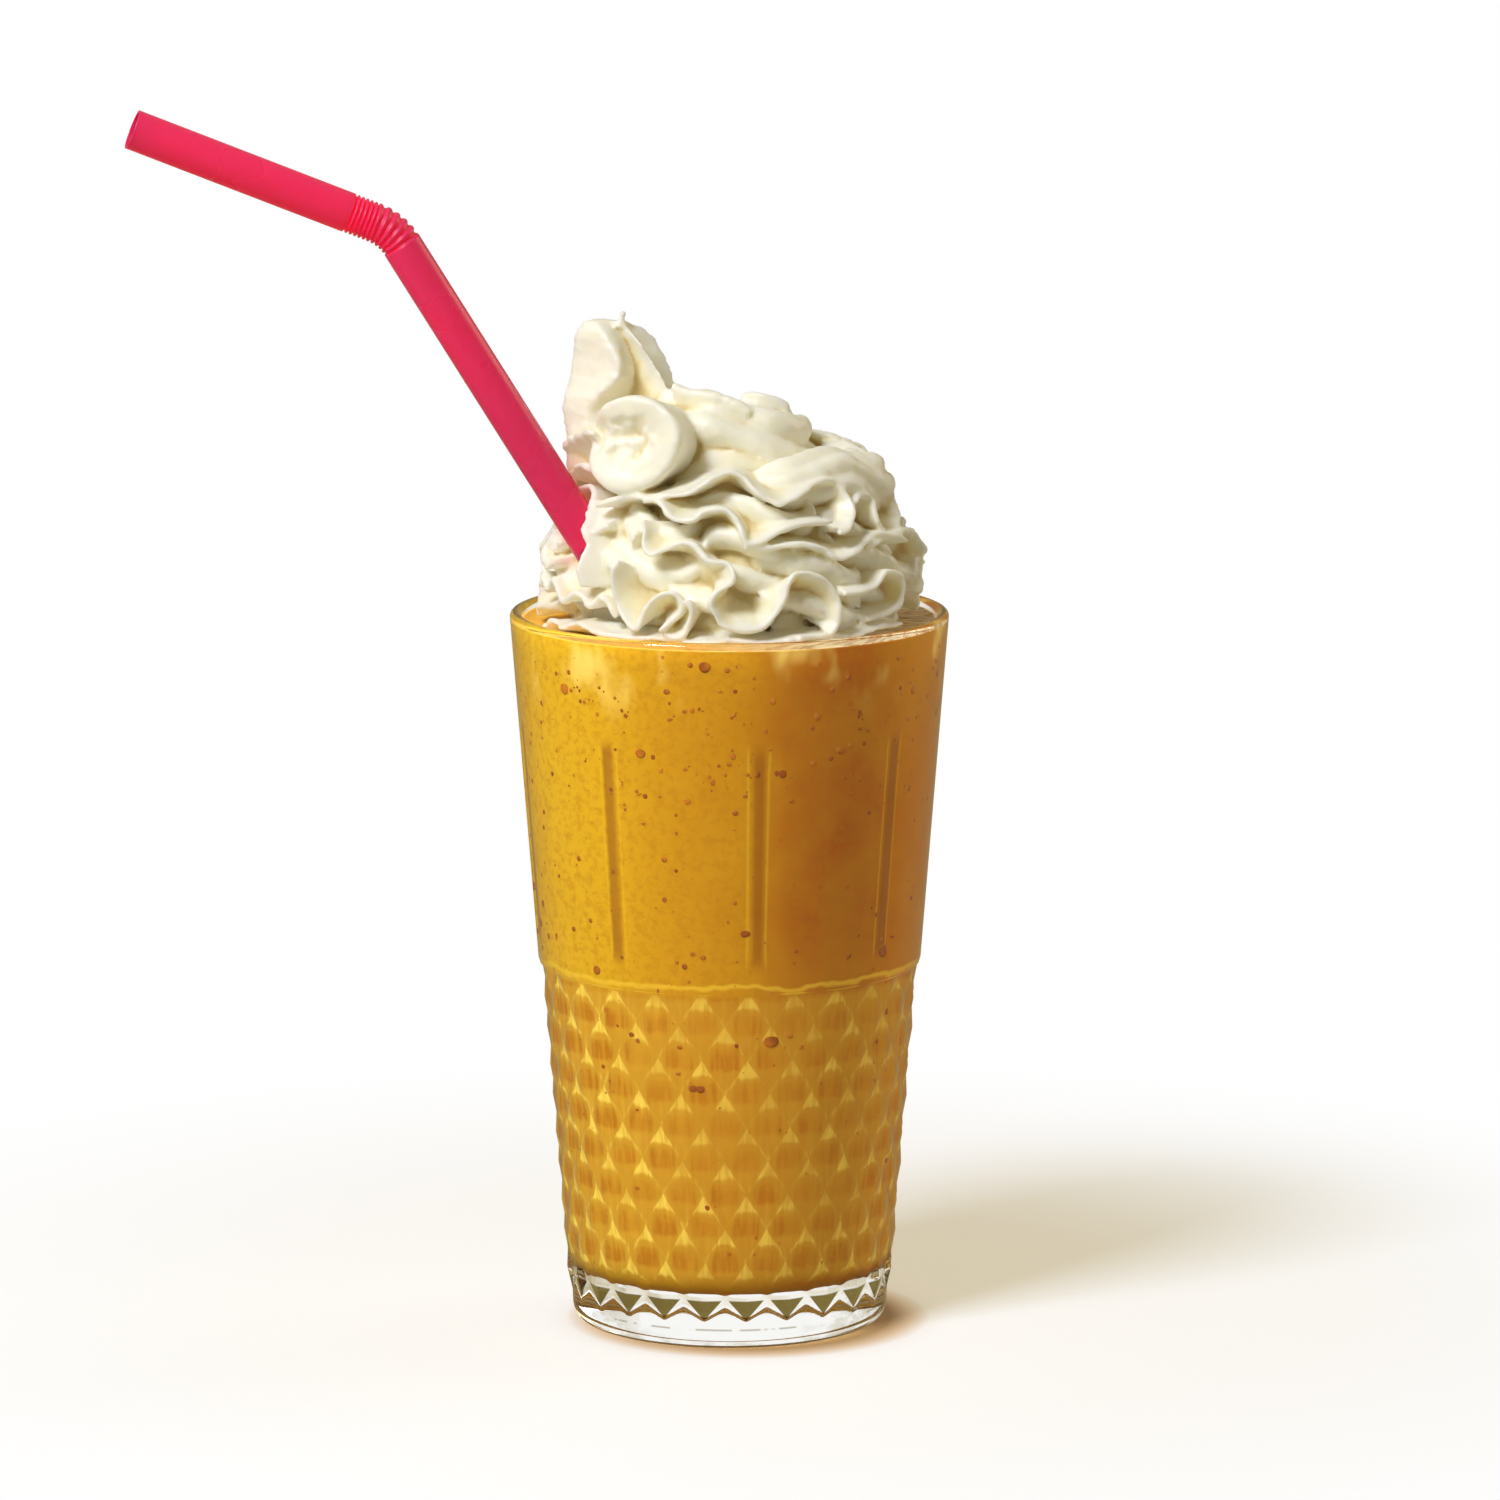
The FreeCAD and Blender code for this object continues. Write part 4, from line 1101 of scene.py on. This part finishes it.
def cream_material():
    """Ivory with painted shade that turns it yellow and darker in the depth of the folds."""
    nodes = new_material("whipped_cream")
    place = nodes.add("TexCoord", output="Object")
    depth = nodes.add("Attribute", output="Fac", attribute_name="depth")
    cream = nodes.mix(nodes.noise(place, 110.0), (0.93, 0.895, 0.755), (0.945, 0.915, 0.790))
    # The depth of the folds carries painted shade: tan, then dark yellow-brown.
    cream = nodes.mix(nodes.ramp(depth, (0.10, 0.0), (0.55, 0.7)), cream, (0.86, 0.79, 0.53))
    cream = nodes.mix(nodes.ramp(depth, (0.45, 0.0), (1.0, 0.9)), cream, (0.68, 0.54, 0.23))
    grain = nodes.noise(place, 1500.0, 3.0, 0.6) * 0.35 + nodes.noise(place, 420.0, 3.0, 0.6)
    return nodes.finish(nodes.principled(
        Base_Color=cream, Roughness=nodes.ramp(nodes.noise(place, 160.0), (0.3, 0.38), (0.7, 0.55)),
        Normal=nodes.bump(0.25, 0.25, grain),
        Subsurface_Weight=0.6, Subsurface_Radius=(4.0, 3.4, 2.0), Subsurface_Scale=MM))


def straw_material():
    """Pink plastic, thin enough to let red light through."""
    nodes = new_material("straw_plastic")
    place = nodes.add("TexCoord", output="Object")
    plastic = nodes.principled(
        Base_Color=nodes.mix(nodes.noise(place, 35.0), (0.97, 0.027, 0.125), (0.985, 0.038, 0.162)),
        Roughness=nodes.ramp(nodes.noise(place, 90.0), (0.3, 0.26), (0.7, 0.36)),
        Normal=nodes.bump(0.04, 0.1, nodes.noise(place, 700.0)), Specular_IOR_Level=0.35,
        Subsurface_Weight=0.8, Subsurface_Radius=(4.0, 0.5, 1.0), Subsurface_Scale=MM)
    return nodes.finish(nodes.let_light_through(plastic, (0.86, 0.10, 0.22)))


# --- Pieces ---------------------------------------------------------------------------
def place_piece(piece, node, material):
    """Rides the piece, stands it for its CAD node and gives it its finish."""
    piece.data.materials.append(material)
    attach(piece, "root")
    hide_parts(node)


place_piece(build_glass(), "glass", glass_material())
place_piece(build_drink(), "drink", drink_material())
place_piece(build_bubbles(), "drink", bubble_material())
place_piece(build_cream(), "whipped_cream", cream_material())
place_piece(build_straw(), "straw", straw_material())

# --- Camera: the photograph's viewing angle ----------------------------------------------
CAMERA_PLACE = (0.0039, -1.6, 0.385)
CAMERA_PITCH = 9.75
camera_data = bpy.data.cameras.new("camera")
camera_data.sensor_width = 36.0
camera_data.lens = 205.0
camera_data.clip_end = 50.0
camera = bpy.data.objects.new("camera", camera_data)
camera.location = CAMERA_PLACE
camera.rotation_euler = (math.radians(90 - CAMERA_PITCH), 0, 0)
bpy.context.scene.collection.objects.link(camera)
bpy.context.scene.camera = camera

# --- Floor, light and background ---------------------------------------------------------
WHITE = (1.0, 1.0, 1.0)
ROOM_IN_GLOSS = (0.34, 0.28, 0.15)     # the dim warm room that gloss and glass reflect
# The floor is a bluish diffuse under a warm glow: together they are white in the light, and the glow paints
# the shadows warm.
FLOOR_COLOUR = (0.52, 0.605, 0.80)
FLOOR_LIFT = (0.535, 0.467, 0.325)
FLOOR_BOUNCE = (0.58, 0.56, 0.48)
FLOOR_REACH = 6.0
FOOT_OFFSET = (-0.0035, 0.001, 0.0)    # puts the painted warm shadow round the foot off its centre, to the right


def floor_material():
    """Pale floor that keeps its shadows near the object, with a painted warm shadow round the foot, and turns
    white further away.
    """
    nodes = new_material("floor")

    def glow(colour, strength=1.0):
        return nodes.add("Emission", {"Color": colour, "Strength": strength})

    place = nodes.add("TexCoord", output="Object")
    from_foot = nodes.length(nodes.add("VectorMath", {0: place, 1: FOOT_OFFSET}, operation="ADD"))
    # A painted warm brown shadow rings the foot, in the floor's colour and in its glow, and sits more to the
    # right; under the glass the glow is turned down.
    painted_foot_shadow = nodes.ramp(from_foot, (0.029, 1.0), (0.0365, 0.0))
    shaded = nodes.add("BsdfDiffuse", {"Color": nodes.mix(painted_foot_shadow, FLOOR_COLOUR, (0.40, 0.25, 0.11))})
    lift = glow(nodes.mix(painted_foot_shadow, FLOOR_LIFT, (0.34, 0.23, 0.12)),
                nodes.ramp(from_foot, (0.0275, 0.35), (0.031, 1.0)))
    near = nodes.add("AddShader", {0: shaded, 1: lift})
    seen = nodes.mix_shaders(nodes.ramp(nodes.length(place), (0.08, 0.0), (0.25, 1.0)), near, glow(WHITE))
    bounce = nodes.principled(Base_Color=FLOOR_BOUNCE, Roughness=0.8)
    return nodes.finish(nodes.by_ray(seen, glow(ROOM_IN_GLOSS), bounce))


bpy.ops.mesh.primitive_grid_add(x_subdivisions=2, y_subdivisions=2, size=2 * FLOOR_REACH)
floor = bpy.context.active_object
floor.name = "floor"
floor.data.materials.append(floor_material())

LAMP_DISTANCE = 1.6
KEY_FROM = (-0.65, -0.76, 1.02)
KEY_SIZE = 0.45
KEY_POWER = 22.1
FILL_FROM = (0.86, 0.42, 0.28)
FILL_SIZE = 0.9
FILL_POWER = 6.5
FILL_TINT = (1.0, 0.91, 0.74)
WORLD_LIGHT = 0.165
WORLD_TINT = (1.0, 0.82, 0.50)


def area_light(name, direction, size, power, tint=WHITE):
    """Square lamp that looks at the middle of the drink."""
    light = bpy.data.lights.new(name, "AREA")
    light.size = size
    light.energy = power
    light.color = tint
    lamp = bpy.data.objects.new(name, light)
    towards = Vector(direction).normalized()
    lamp.location = Vector((0, 0, 0.1)) + towards * LAMP_DISTANCE
    lamp.rotation_euler = towards.to_track_quat("Z", "Y").to_euler()
    bpy.context.scene.collection.objects.link(lamp)


area_light("key", KEY_FROM, KEY_SIZE, KEY_POWER)
area_light("fill", FILL_FROM, FILL_SIZE, FILL_POWER, FILL_TINT)

bpy.context.scene.world = bpy.data.worlds.new("studio")
sky = Nodes(bpy.context.scene.world, "World Output")
white, room, soft = (sky.add("Background", {"Color": colour, "Strength": strength})
                     for colour, strength in ((WHITE, 1.0), (ROOM_IN_GLOSS, 1.0), (WORLD_TINT, WORLD_LIGHT)))
sky.finish(sky.by_ray(white, room, soft))

bpy.context.scene.view_settings.view_transform = "Standard"
